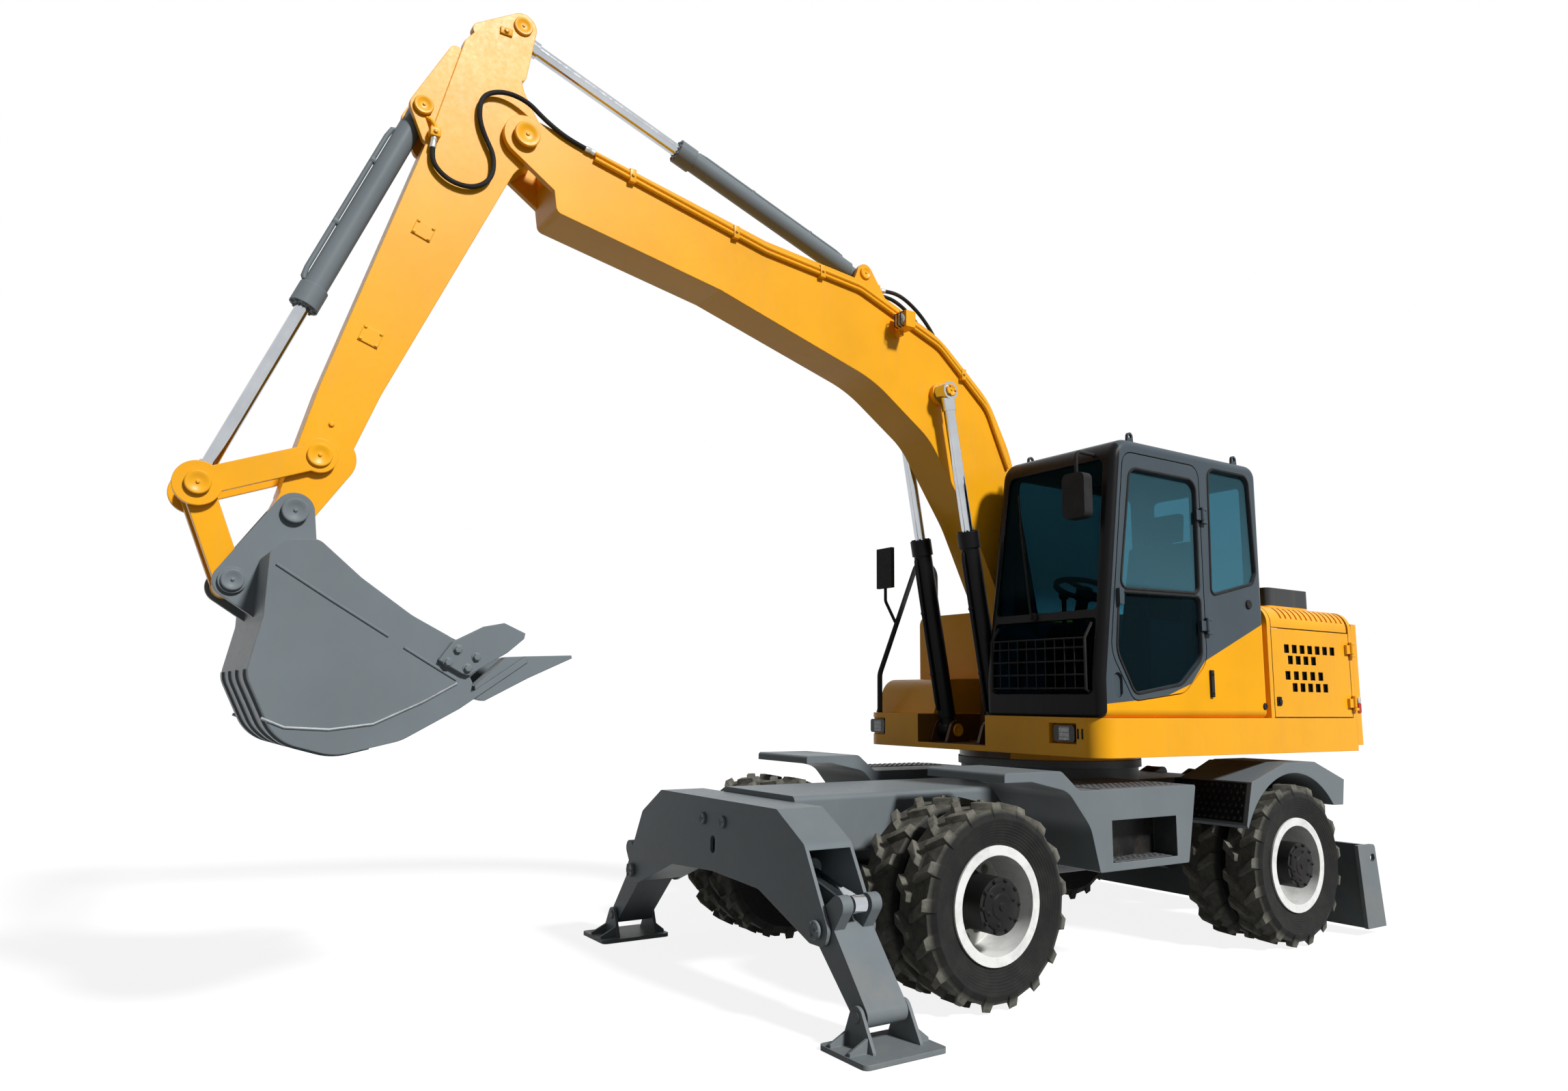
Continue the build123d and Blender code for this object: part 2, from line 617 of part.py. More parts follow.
def outrigger_foot():
    """Left pad with two ears and the pin that hangs it on the leg."""
    x0, x1 = leg_width()
    plate = block(PAD_X, PAD_Y, (0, PAD_T))
    shape = fillet(plate.edges().filter_by(Axis.Z), 30)
    ear = band([(*FOOT_PIN, 46), (FOOT_PIN[0] - 90, PAD_T + 4, 12), (FOOT_PIN[0] + 110, PAD_T + 4, 12)])
    for start in (x0 - LEG_SIDE_GAP - 18, x1 + LEG_SIDE_GAP):
        shape += along_x(ear, start, start + 18)
    for edge, way in ((x0 - LEG_SIDE_GAP - 18, -1), (x1 + LEG_SIDE_GAP + 18, 1)):
        end = PAD_X[0] + 10 if way < 0 else PAD_X[1] - 10
        rib = outline([(edge - way, PAD_T - 1), (end, PAD_T - 1), (end, PAD_T + 14), (edge - way, PAD_T + RIB_H)])
        for y in RIB_Y:
            shape += along_y(rib, y - RIB_T / 2, y + RIB_T / 2)
    return shape + rod_x(*FOOT_PIN, FOOT_PIN_R, x0 - LEG_SIDE_GAP - 24, x1 + LEG_SIDE_GAP + 24)


def outrigger_cylinder():
    """Barrel and rod that push the left leg down."""
    x0, x1 = leg_width()
    middle = (x0 + x1) / 2
    place = cylinder_place((middle, *OUTRIGGER_BASE), (middle, *LEG_EAR), (1, 0, 0))
    rest = spaced(OUTRIGGER_BASE, LEG_EAR)
    barrel = barrel_shape(OUTRIGGER_BARREL, 52, 28, 46, 40, 26, 90)
    rod = rod_shape(rest, OUTRIGGER_ROD, 28, ROD_EYE_R, ROD_EYE_HALF)
    return place * barrel, place * rod


# Dozer blade

def dozer_blade():
    """Curved mouldboard with end plates, back ribs and two arms."""
    x = BLADE_X
    face = outline([(x - 50, BLADE_TOP), (x - 10, BLADE_TOP), (x - 5, 330, 500), (x - 5, BLADE_LOW),
                    (x - 185, BLADE_LOW), (x - 90, 140, 120), (x - 45, 330, 500)])
    shape = along_y(face, -BLADE_HALF_W, BLADE_HALF_W)
    end = outline([(x + 80, BLADE_TOP), (x - 135, BLADE_TOP, 30), (x - 220, BLADE_LOW), (x + 15, BLADE_LOW)])
    for side in (-1, 1):
        outer = side * BLADE_HALF_W
        inner = side * (BLADE_HALF_W - BLADE_END_T)
        plate = along_y(end, min(inner, outer), max(inner, outer))
        shape += plate - rod_y(*BLADE_HOLE, BLADE_HOLE_R, -BLADE_HALF_W - 1, BLADE_HALF_W + 1)
    arm = outline([(BLADE_PIN[0], BLADE_PIN[1] + 60), (x - 10, 470), (x - 10, 250), (x + 75, 250),
                   (BLADE_PIN[0], BLADE_PIN[1] - 60)])
    for side in (-1, 1):
        y = side * BLADE_ARM_Y
        arm_y = (y - 40, y + 40)
        shape += along_y(arm, *arm_y) + rod_y(*BLADE_PIN, 60, *arm_y)
        shape -= rod_y(*BLADE_PIN, 30 + PIN_GAP, y - 41, y + 41)
    bracket = band([(*BLADE_CYL_EYE, 44), (x + 15, 440, 40), (x + 15, 380, 40)])
    for side in (-1, 1):
        for offset in (-56, 56):
            y = side * BLADE_CYL_Y + offset
            shape += along_y(bracket, y - 10, y + 10)
    return shape


def blade_cylinders():
    """Both blade cylinders: barrels together, rods together."""
    barrels = []
    rods = []
    rest = spaced(BLADE_CYL_BASE, BLADE_CYL_EYE)
    for side in (-1, 1):
        y = side * BLADE_CYL_Y
        place = cylinder_place((BLADE_CYL_BASE[0], y, BLADE_CYL_BASE[1]),
                               (BLADE_CYL_EYE[0], y, BLADE_CYL_EYE[1]), (0, 1, 0))
        barrels.append(place * barrel_shape(BLADE_BARREL, 46, 26, 44, 42, 24, 40))
        rods.append(place * rod_shape(rest, BLADE_ROD, 26, 38, 36, collar=20))
    return together(*barrels), together(*rods)


# Upper structure

def upright_hinge(x, z):
    """Pin and lugs for the frame behind x, knuckle and leaf for the door ahead of it, on the left side."""
    y = UPPER_HALF_W + HINGE_OUT
    edge = DOOR_GAP / 2 + 1
    fixed = rod_z(x, y, HINGE_PIN_R, z - HINGE_HALF, z + HINGE_HALF)
    lug = band([(x, y, LUG_R), (x - HINGE_FOOT + LUG_R, y, LUG_R)])
    for low, high in ((z - HINGE_HALF, z - KNUCKLE_HALF - 1), (z + KNUCKLE_HALF + 1, z + HINGE_HALF)):
        fixed += along_z(lug, low, high)
        fixed += block((x - HINGE_FOOT, x - edge), (UPPER_HALF_W - 2, y), (low, high))
    moving = rod_z(x, y, HINGE_R, z - KNUCKLE_HALF, z + KNUCKLE_HALF)
    moving += block((x + edge, x + 60), (UPPER_HALF_W - 2, y), (z - KNUCKLE_HALF, z + KNUCKLE_HALF))
    bore = rod_z(x, y, HINGE_PIN_R + PIN_GAP, z - HINGE_HALF - 1, z + HINGE_HALF + 1)
    return fixed, moving - bore


def hood_hinge(y):
    """Pin and lugs for the fire wall, knuckle and leaf for the hood behind it."""
    x = BODY_FRONT_X - PANEL_T - DOOR_GAP / 2
    z = HOOD_Z + HINGE_OUT
    edge = DOOR_GAP / 2 + 1
    fixed = rod_y(x, z, HINGE_PIN_R, y - HINGE_HALF, y + HINGE_HALF)
    lug = band([(x, z, LUG_R), (x + HINGE_FOOT - LUG_R, z, LUG_R)])
    for low, high in ((y - HINGE_HALF, y - KNUCKLE_HALF - 1), (y + KNUCKLE_HALF + 1, y + HINGE_HALF)):
        fixed += along_y(lug, low, high)
        fixed += block((x + edge, x + HINGE_FOOT), (low, high), (HOOD_Z - 2, z))
    moving = rod_y(x, z, HINGE_R, y - KNUCKLE_HALF, y + KNUCKLE_HALF)
    moving += block((x - 60, x - edge), (y - KNUCKLE_HALF, y + KNUCKLE_HALF), (HOOD_Z - 2, z))
    bore = rod_y(x, z, HINGE_PIN_R + PIN_GAP, y - HINGE_HALF - 1, y + HINGE_HALF + 1)
    return fixed, moving - bore


def upper_frame():
    """Slewing deck with its skirts, lamp recesses, boom bracket and cylinder ears."""
    w = UPPER_HALF_W
    plan = [(UPPER_REAR_X, -w), (560, -w, 120), (UPPER_FRONT_X, -w + 160, 160), (UPPER_FRONT_X, w, 130),
            (UPPER_REAR_X, w)]
    shape = along_z(outline(plan), DECK_Z0, DECK_Z1)
    bay = (BOOM_Y - BOOM_CYL_OFFSET - 98, CAB_Y0 + 4)
    shape -= block((-640, UPPER_FRONT_X + 1), bay, (BAY_FLOOR, DECK_Z1 + 1))
    for y in ((660, w - SKIRT_T), (-w + SKIRT_T, -660)):
        shape -= block((UPPER_REAR_X + SKIRT_T, 640), y, (DECK_Z0 - 1, DECK_Z1 - SKIRT_T))
    shape -= block((UPPER_REAR_X + SKIRT_T, -680), (-630, 630), (DECK_Z0 - 1, DECK_Z1 - SKIRT_T))
    for y in LAMP_Y:
        shape -= block((UPPER_FRONT_X - 70, UPPER_FRONT_X + 1), (y - 105, y + 105), (1300, 1420))
    shape += along_z(Circle(RING_R - 10) - Circle(RING_BORE_R), RING_Z + RING_H + RUNNING_GAP, DECK_Z0 + 1)
    cheek = band([(*BOOM_PIN, 130), (-480, BAY_FLOOR + 20, 30), (330, BAY_FLOOR + 20, 30)])
    inner = BOOM_HALF_W + 6
    for side in (-1, 1):
        y = sorted((BOOM_Y + side * inner, BOOM_Y + side * (inner + 34)))
        shape += along_y(cheek, *y)
    shape += rod_y(*BOOM_PIN, BOOM_PIN_R, BOOM_Y - inner - 46, BOOM_Y + inner + 46)
    base = BOOM_CYL_BASE
    ear = band([(*base, 70), (base[0] - 90, BAY_FLOOR + 10, 12), (base[0] + 90, BAY_FLOOR + 10, 12)])
    for side in (-1, 1):
        for offset in (-82, 82):
            y = BOOM_Y + side * BOOM_CYL_OFFSET + offset
            shape += along_y(ear, y - 12, y + 12)
        y = BOOM_Y + side * BOOM_CYL_OFFSET
        shape += rod_y(*base, 34, y - 82, y + 82)
    return shape


def front_lamps():
    """Two lamps in the recesses of the front skirt."""
    lamps = []
    for y in LAMP_Y:
        lamp = block((UPPER_FRONT_X - 70, UPPER_FRONT_X - 12), (y - 80, y + 80), (1312, 1408))
        lamps.append(fillet(lamp.edges().filter_by(Axis.X), 18))
    return together(*lamps)


def cab_outline():
    """Side view of the cab."""
    return outline([(CAB_REAR_X, DECK_Z1, 20), (CAB_FRONT_X, DECK_Z1, 20), (CAB_FRONT_X + 4, DECK_Z1 + 225, 500),
                    (CAB_FRONT_X - 200, CAB_TOP, 150), (CAB_REAR_X, CAB_TOP, 90)])


def door_outline():
    return outline([(DOOR_HINGE_X, 1800, 150), (20, 1610, 150), (500, 1556, 80), (690, 1840, 200),
                    (520, DOOR_TOP, 90), (DOOR_HINGE_X, DOOR_TOP, 80)])


def door_upper_window():
    return outline([(DOOR_HINGE_X + 52, 2244, 40), (581, 2229, 40), (462, 2960, 70),
                    (DOOR_HINGE_X + 42, 2960, 70)])


def door_lower_window():
    return outline([(DOOR_HINGE_X + 52, 1830, 110), (46, 1668, 110), (486, 1604, 60), (634, 1845, 150),
                    (597, 2192, 30), (DOOR_HINGE_X + 46, 2208, 30)])


def rear_side_window():
    return outline([(-303, 2240, 30), (-326, 3060, 60), (-751, 3060, 60), (-785, 2415, 30), (-745, 2343, 30)])


def right_window():
    return outline([(-740, 2150, 40), (560, 2050, 40), (470, 3040, 60), (-740, 3040, 40)])


def cab_frame():
    """Hollow cab with its windows and door opening cut, and lifting eyes on the roof."""
    shape = along_y(cab_outline(), CAB_Y0, UPPER_HALF_W)
    shape = fillet(shape.edges().filter_by(GeomType.LINE).group_by(Axis.Z)[-1].filter_by(Axis.X), 50)
    shape -= along_y(offset(cab_outline(), amount=-CAB_WALL), CAB_Y0 + CAB_WALL, UPPER_HALF_W - CAB_WALL)
    left = (UPPER_HALF_W - CAB_WALL - 1, UPPER_HALF_W + 1)
    shape -= along_y(offset(door_outline(), amount=DOOR_GAP), *left)
    shape -= along_y(rear_side_window(), *left)
    shape -= along_y(right_window(), CAB_Y0 - 1, CAB_Y0 + CAB_WALL + 1)
    shape -= along_x(outline(FRONT_UPPER), 400, CAB_FRONT_X + 40)
    shape -= along_x(outline(FRONT_LOWER), 600, CAB_FRONT_X + 40)
    shape -= along_x(outline(REAR_WINDOW), CAB_REAR_X - 1, CAB_REAR_X + CAB_WALL + 1)
    eye = band([(0, 0, 30), (0, 40, 26)]) - Pos(0, 40) * Circle(LIFT_EYE_R)
    for x in LIFT_EYE_X:
        for y in (CAB_Y0 + 60, UPPER_HALF_W - 60):
            shape += Pos(x, 0, CAB_TOP - 4) * along_y(eye, y - 8, y + 8)
    pocket = Pos(*CAB_POCKET) * SlotOverall(CAB_POCKET_H, CAB_POCKET_W, rotation=90)
    shape -= along_y(pocket, UPPER_HALF_W - CAB_POCKET_DEPTH, UPPER_HALF_W + 1)
    for z in CAB_HINGE_Z:
        shape += upright_hinge(DOOR_HINGE_X - DOOR_GAP / 2, z)[0]
    return shape


def cab_glass():
    """Panes of the fixed windows, each set in the middle of its wall."""
    inset = (CAB_WALL - GLASS_T) / 2
    panes = [along_y(rear_side_window(), UPPER_HALF_W - inset - GLASS_T, UPPER_HALF_W - inset),
             along_y(right_window(), CAB_Y0 + inset, CAB_Y0 + inset + GLASS_T),
             along_x(outline(REAR_WINDOW), CAB_REAR_X + inset, CAB_REAR_X + inset + GLASS_T)]
    skin = along_y(offset(cab_outline(), amount=-inset), CAB_Y0, UPPER_HALF_W)
    skin -= along_y(offset(cab_outline(), amount=-inset - GLASS_T), CAB_Y0 - 1, UPPER_HALF_W + 1)
    panes.append(skin & along_x(outline(FRONT_UPPER), 400, CAB_FRONT_X + 40))
    panes.append(skin & along_x(outline(FRONT_LOWER), 600, CAB_FRONT_X + 40))
    return together(*panes)


def cab_door():
    """Door with an upper and a lower window, hung at its rear edge."""
    shape = along_y(door_outline(), UPPER_HALF_W - CAB_WALL, UPPER_HALF_W)
    through = (UPPER_HALF_W - CAB_WALL - 1, UPPER_HALF_W + 1)
    shape -= along_y(door_upper_window(), *through)
    shape -= along_y(door_lower_window(), *through)
    for z in CAB_HINGE_Z:
        shape += upright_hinge(DOOR_HINGE_X - DOOR_GAP / 2, z)[1]
    handle = block((590, 630), (UPPER_HALF_W - 2, UPPER_HALF_W + 26), (2120, 2215))
    return shape + handle


def cab_door_glass():
    inset = (CAB_WALL - GLASS_T) / 2
    depth = (UPPER_HALF_W - inset - GLASS_T, UPPER_HALF_W - inset)
    return together(along_y(door_upper_window(), *depth), along_y(door_lower_window(), *depth))


def cab_interior():
    """Seat, side consoles with levers and the steering column, standing on the cab floor."""
    floor = DECK_Z1 + CAB_WALL
    mid = (CAB_Y0 + UPPER_HALF_W) / 2
    seat = block((-330, 130), (mid - 190, mid + 190), (floor, floor + 330))
    cushion = block((-370, 190), (mid - 250, mid + 250), (floor + 320, floor + 460))
    back = outline([(-385, floor + 400), (-255, floor + 400), (-400, floor + 1120, 30), (-500, floor + 1120, 30)])
    seat += fillet(cushion.edges().filter_by(Axis.Y), 50) + along_y(back, mid - 230, mid + 230)
    head = outline([(-420, floor + 1140, 20), (-510, floor + 1140, 20), (-530, floor + 1330, 20),
                    (-450, floor + 1330, 20)])
    seat += along_y(head, mid - 130, mid + 130)
    seat += block((-480, -430), (mid - 70, mid + 70), (floor + 1080, floor + 1180))
    pieces = [seat]
    for side in (-1, 1):
        y = mid + side * 335
        console = block((-300, 240), (y - 60, y + 60), (floor, floor + 560))
        console = fillet(console.edges().filter_by(Axis.Y), 40)
        console += rod_z(170, y, 16, floor + 550, floor + 740) + Pos(170, y, floor + 760) * Sphere(34)
        pieces.append(console)
    column = block((520, 600), (mid - 60, mid + 60), (floor, floor + 120))
    tilt = Plane(origin=(560, mid, floor + 60), z_dir=(-0.28, 0, 0.96))
    column += extrude(tilt * Circle(38), amount=700)
    wheel = Plane(origin=(560 - 0.28 * 720, mid, floor + 60 + 0.96 * 720), z_dir=(-0.28, 0, 0.96))
    column += extrude(wheel * (Circle(195) - Circle(165)), amount=26)
    column += wheel * Pos(0, 0, 13) * Box(350, 40, 14) + extrude(wheel * Circle(50), amount=-60)
    column += extrude(wheel * Circle(50), amount=20)
    pieces.append(column)
    return together(*pieces)


def counterweight():
    """Heavy rounded casting behind the engine."""
    w = UPPER_HALF_W
    plan = [(UPPER_REAR_X, -w), (UPPER_REAR_X, w), (UPPER_REAR_X - 90, w, 60), (CW_REAR_X, w - 330, 330),
            (CW_REAR_X, -w + 330, 330), (UPPER_REAR_X - 90, -w, 60)]
    return along_z(outline(plan), CW_Z0, CW_TOP)


def engine_block():
    return block((-1700, -1080), (-430, 430), (DECK_Z1, DECK_Z1 + 560))


def rear_bodywork():
    """Fixed panels round the engine bay: fire wall, sills under the hood and the right rear post."""
    w = UPPER_HALF_W
    section = outline([(w, DECK_Z1), (w, HOOD_Z, 130), (-w, HOOD_Z, 130), (-w, DECK_Z1)])
    wall = along_x(section, BODY_FRONT_X - PANEL_T, BODY_FRONT_X)
    post = along_x(section, UPPER_REAR_X, UPPER_REAR_X + PANEL_T)
    post -= block((UPPER_REAR_X - 1, UPPER_REAR_X + PANEL_T + 1), (-w + 80, w - 80), (DECK_Z1 + 60, HOOD_Z - 80))
    shape = wall + post
    for side in (-1, 1):
        y = sorted((side * (w - 70), side * (w - 70 - PANEL_T)))
        shape += block((UPPER_REAR_X, BODY_FRONT_X), y, (HOOD_SIDE_Z - 60, HOOD_SIDE_Z - 20))
    for z in SIDE_HINGE_Z:
        lugs = upright_hinge(UPPER_REAR_X + PANEL_T + DOOR_GAP / 2, z)[0]
        shape += lugs + mirrored(lugs)
    for y in HOOD_HINGE_Y:
        shape += hood_hinge(y)[0]
    return shape


def side_door():
    """Big service door in the left side of the engine body, hung at its rear edge."""
    door = (UPPER_REAR_X + PANEL_T + DOOR_GAP, BODY_FRONT_X - PANEL_T - DOOR_GAP)
    y = (UPPER_HALF_W - PANEL_T, UPPER_HALF_W)
    shape = block(door, y, (DECK_Z1 + DOOR_GAP, HOOD_SIDE_Z - DOOR_GAP))
    for z, first, pitch, count in VENT_ROWS:
        for i in range(count):
            x = first - i * pitch
            vent = (x - VENT / 2, x + VENT / 2)
            shape -= block(vent, (UPPER_HALF_W - VENT_DEPTH, UPPER_HALF_W + 1), (z - VENT / 2, z + VENT / 2))
    for z in SIDE_HINGE_Z:
        shape += upright_hinge(UPPER_REAR_X + PANEL_T + DOOR_GAP / 2, z)[1]
    return shape


def engine_hood():
    """Lid over the engine, with rounded shoulders and the raised intake housing."""
    w = UPPER_HALF_W
    span = (UPPER_REAR_X + PANEL_T + HOOD_REAR_GAP, BODY_FRONT_X - PANEL_T - DOOR_GAP)
    outer = outline([(w, HOOD_SIDE_Z), (w, HOOD_Z, 130), (-w, HOOD_Z, 130), (-w, HOOD_SIDE_Z)])
    inner = outline([(w - PANEL_T, HOOD_SIDE_Z - 1), (w - PANEL_T, HOOD_Z - PANEL_T, 95),
                     (-w + PANEL_T, HOOD_Z - PANEL_T, 95), (-w + PANEL_T, HOOD_SIDE_Z - 1)])
    shape = along_x(outer, *span) - along_x(inner, span[0] - 1, span[1] + 1)
    skin = outer - offset(outer, amount=-SLOT_DEPTH)
    for i in range(SLOTS):
        x = SLOT_X[0] + i * (SLOT_X[1] - SLOT_X[0]) / (SLOTS - 1)
        slot = along_x(skin, x - SLOT_W / 2, x + SLOT_W / 2)
        for side in (-1, 1):
            flank = sorted((side * (w - 130), side * (w + 1)))
            shape -= slot & block((x - SLOT_W, x + SLOT_W), flank, SLOT_Z)
    intake = block(INTAKE_X, INTAKE_Y, (HOOD_Z - 20, HOOD_Z + 150))
    shape += fillet(intake.edges().filter_by(Axis.Z), 40)
    step = (INTAKE_Y[1] - INTAKE_Y[0]) / (INTAKE_SLOTS + 1)
    for i in range(INTAKE_SLOTS):
        y = INTAKE_Y[0] + (i + 1) * step
        shape -= block((INTAKE_X[1] - 30, INTAKE_X[1] + 1), (y - 25, y + 25), (HOOD_Z + 30, HOOD_Z + 120))
    for y in HOOD_HINGE_Y:
        shape += hood_hinge(y)[1]
    return shape


def right_tanks():
    """Tank behind and tool box in front, along the right of the boom."""
    w = UPPER_HALF_W
    inner = BOOM_Y - BOOM_CYL_OFFSET - 110
    tank = block((BODY_FRONT_X, 180), (-w, inner), (DECK_Z1, TANK_TOP))
    tank = fillet(tank.edges().filter_by(Axis.X).group_by(Axis.Z)[-1], 70)
    nose = outline([(188, DECK_Z1), (188, 1710, 20), (540, 1700, 140), (640, DECK_Z1)])
    tool_box = along_y(nose, -w + 20, inner)
    return together(tank, tool_box)


def rails_and_mirrors():
    """Right handrail, and both mirrors on their stalks."""
    y = -UPPER_HALF_W + 55
    front_y = -UPPER_HALF_W + 140
    rail = tube([(700, front_y, DECK_Z1), (700, front_y, 1740), (250, y, 2630), (60, y, 2630), (60, y, TANK_TOP)],
                19, 110)
    stalk = tube([(500, y + 36, 2130), (590, y + 20, 2300), (590, y + 20, 2440)], 12, 60)
    right = block((575, 605), (y - 70, y + 110), (2400, 2710))
    hang = (MIRROR_X[0] + MIRROR_X[1]) / 2
    left_y = (MIRROR_Y[0] + MIRROR_Y[1]) / 2
    left_arm = tube([(MIRROR_ROOT_X, left_y, MIRROR_ARM_Z), (hang, left_y, MIRROR_ARM_Z),
                     (hang, left_y, MIRROR_Z[1] - 40)], 11, 40)
    left = fillet(block(MIRROR_X, MIRROR_Y, MIRROR_Z).edges().filter_by(Axis.X), 40)
    return together(rail + stalk + right, left + left_arm)


# Boom, arm and bucket

def boom_profile():
    return [(BOOM_PIN[0] + 118, BOOM_PIN[1] - 40, 90), (726, 2749, 900), (1095, 3278, 500), (1570, 3601, 900),
            (2728, 3947), (3760, 4150, 40), (3790, 4350, 20), (3790, 4500, 20), (3700, 4600, 60),
            (2414, 4335), (1684, 4262, 600), (991, 4004, 700), (541, 3638, 500), (330, 3257, 900),
            (BOOM_PIN[0] - 118, BOOM_PIN[1] - 20, 90)]


def boom():
    """Curved box boom: pin boss at the foot, two ears round the arm, lugs for the cylinders."""
    y = (BOOM_Y - BOOM_HALF_W, BOOM_Y + BOOM_HALF_W)
    section = outline(boom_profile())
    shape = along_y(section, *y)
    shape += rod_y(*BOOM_PIN, 118, *y)
    nose = band([(*ARM_PIN, 118), (3600, 4330, 150), (3600, 4420, 150)])
    inner = ARM_HALF_W + 6
    for side in (-1, 1):
        ear = sorted((BOOM_Y + side * inner, BOOM_Y + side * BOOM_HALF_W))
        shape += along_y(nose, *ear)
    shape -= rod_y(*ARM_PIN, 175, BOOM_Y - inner, BOOM_Y + inner)
    shape += rod_y(*ARM_PIN, ARM_PIN_R, BOOM_Y - BOOM_HALF_W - 22, BOOM_Y + BOOM_HALF_W + 22)
    shape -= rod_y(*BOOM_PIN, BOOM_PIN_R + PIN_GAP, y[0] - 1, y[1] + 1)
    lug = band([(*ARM_CYL_BASE, 62), (ARM_CYL_BASE[0] - 150, 4130, 60), (ARM_CYL_BASE[0] + 60, 4190, 60)])
    for offset in (-84, 84):
        shape += along_y(lug, BOOM_Y + offset - 14, BOOM_Y + offset + 14)
    shape += rod_y(*ARM_CYL_BASE, 32, BOOM_Y - 84, BOOM_Y + 84)
    for side in (-1, 1):
        boss = sorted((BOOM_Y + side * (BOOM_HALF_W - 1), BOOM_Y + side * (BOOM_CYL_OFFSET - 52)))
        shape += rod_y(*BOOM_CYL_EYE, 74, *boss)
    return shape


def boom_pipes():
    """Steel lines clamped along the upper edge of the boom's left side, and the work lamp."""
    pieces = []
    for row in (0, 1):
        y = BOOM_Y + BOOM_HALF_W + 14
        drop = 30 * row
        route = [(3560, y, 4545 - drop), (2420, y, 4290 - drop), (1690, y, 4215 - drop), (1010, y, 3965 - drop),
                 (570, y, 3600 - drop), (380, y, 3200 - drop)]
        pieces.append(tube(route, 13.5, 260))
    lamp = block((1340, 1420), (BOOM_Y + BOOM_HALF_W + 40, BOOM_Y + BOOM_HALF_W + 150), (3960, 4070))
    lamp += block((1365, 1395), (BOOM_Y + BOOM_HALF_W, BOOM_Y + BOOM_HALF_W + 60), (3930, 3965))
    pieces.append(lamp)
    return together(*pieces)


def boom_cylinders():
    barrels = []
    rods = []
    rest = spaced(BOOM_CYL_BASE, BOOM_CYL_EYE)
    for side in (-1, 1):
        y = BOOM_Y + side * BOOM_CYL_OFFSET
        place = cylinder_place((BOOM_CYL_BASE[0], y, BOOM_CYL_BASE[1]), (BOOM_CYL_EYE[0], y, BOOM_CYL_EYE[1]),
                               (0, 1, 0))
        barrels.append(place * barrel_shape(BOOM_BARREL, 62, 38, 64, 50, 34, 90))
        rods.append(place * rod_shape(rest, BOOM_ROD, 38, 62, 46))
    return together(*barrels), together(*rods)


def arm_profile():
    return [(3890, 4420, 60), (3985, 4340, 200), (4591, 2981), (4800, 2420, 40), (5010, 2420, 40), (4865, 2992),
            (4420, 4470), (4290, 4990, 60), (4200, 5110, 40), (3950, 5060, 30), (3984, 4842, 200),
            (3860, 4640, 80)]


def arm():
    """Tapered box arm with the bosses for its pins and the lugs for both cylinders."""
    y = (BOOM_Y - ARM_HALF_W, BOOM_Y + ARM_HALF_W)
    shape = along_y(outline(arm_profile()), *y)
    shape += rod_y(*ARM_PIN, 118, *y)
    shape += along_y(band([(*BUCKET_PIN, 85), (4800, 2640, 120)]), *y)
    head = band([(*ARM_CYL_EYE, 78), (4215, 5075, 40), (3990, 4900, 40)])
    slot_half = 56
    shape -= rod_y(*ARM_CYL_EYE, 190, BOOM_Y - slot_half, BOOM_Y + slot_half)
    for side in (-1, 1):
        ear = sorted((BOOM_Y + side * slot_half, BOOM_Y + side * ARM_HALF_W))
        shape += along_y(head, *ear)
    lug = band([(*BUCKET_CYL_BASE, 66), (4330, 4900, 40), (4440, 4390, 40)])
    for side in (-1, 1):
        ear = sorted((BOOM_Y + side * 70, BOOM_Y + side * 100))
        shape += along_y(lug, *ear)
    shape -= rod_y(*BUCKET_CYL_BASE, 96, BOOM_Y - 70, BOOM_Y + 70)
    shape += rod_y(*BUCKET_CYL_BASE, 30, BOOM_Y - 108, BOOM_Y + 108)
    shape += rod_y(*ROCKER_PIN, 78, *y)
    shape -= rod_y(*ARM_PIN, ARM_PIN_R + PIN_GAP, y[0] - 1, y[1] + 1)
    shape -= rod_y(*BUCKET_PIN, BUCKET_PIN_R + PIN_GAP, y[0] - 1, y[1] + 1)
    return shape - rod_y(*ROCKER_PIN, 34 + PIN_GAP, y[0] - 1, y[1] + 1)


def arm_cylinder():
    rest = spaced(ARM_CYL_BASE, ARM_CYL_EYE)
    place = cylinder_place((ARM_CYL_BASE[0], BOOM_Y, ARM_CYL_BASE[1]), (ARM_CYL_EYE[0], BOOM_Y, ARM_CYL_EYE[1]),
                           (0, 1, 0))
    return (place * barrel_shape(ARM_BARREL, 62, 38, 56, 52, 32, 90),
            place * rod_shape(rest, ARM_ROD, 38, 62, 46))


def bucket_cylinder():
    rest = spaced(BUCKET_CYL_BASE, ROD_PIN)
    place = cylinder_place((BUCKET_CYL_BASE[0], BOOM_Y, BUCKET_CYL_BASE[1]), (ROD_PIN[0], BOOM_Y, ROD_PIN[1]),
                           (0, 1, 0))
    return (place * barrel_shape(BUCKET_BARREL, 58, 34, 56, 50, 30, 90),
            place * rod_shape(rest, BUCKET_ROD, 34, 56, 44))


def rocker_links():
    """Two side links between the arm and the bucket cylinder's rod, joined by their pins."""
    plate = band([(*ROCKER_PIN, ROCKER_BAR_HALF), (*ROD_PIN, ROCKER_BAR_HALF)])
    plate += Pos(*ROCKER_PIN) * Circle(82) + Pos(*ROD_PIN) * Circle(ROCKER_END_R)
    inner = ARM_HALF_W + 8
    outer = inner + ROCKER_T
    shape = rod_y(*ROCKER_PIN, 34, BOOM_Y - outer, BOOM_Y + outer)
    for side in (-1, 1):
        y = sorted((BOOM_Y + side * inner, BOOM_Y + side * outer))
        shape += along_y(plate, *y)
        stub = sorted((BOOM_Y + side * 56, BOOM_Y + side * (outer + 8)))
        shape += rod_y(*ROD_PIN, 30, *stub)
    return shape


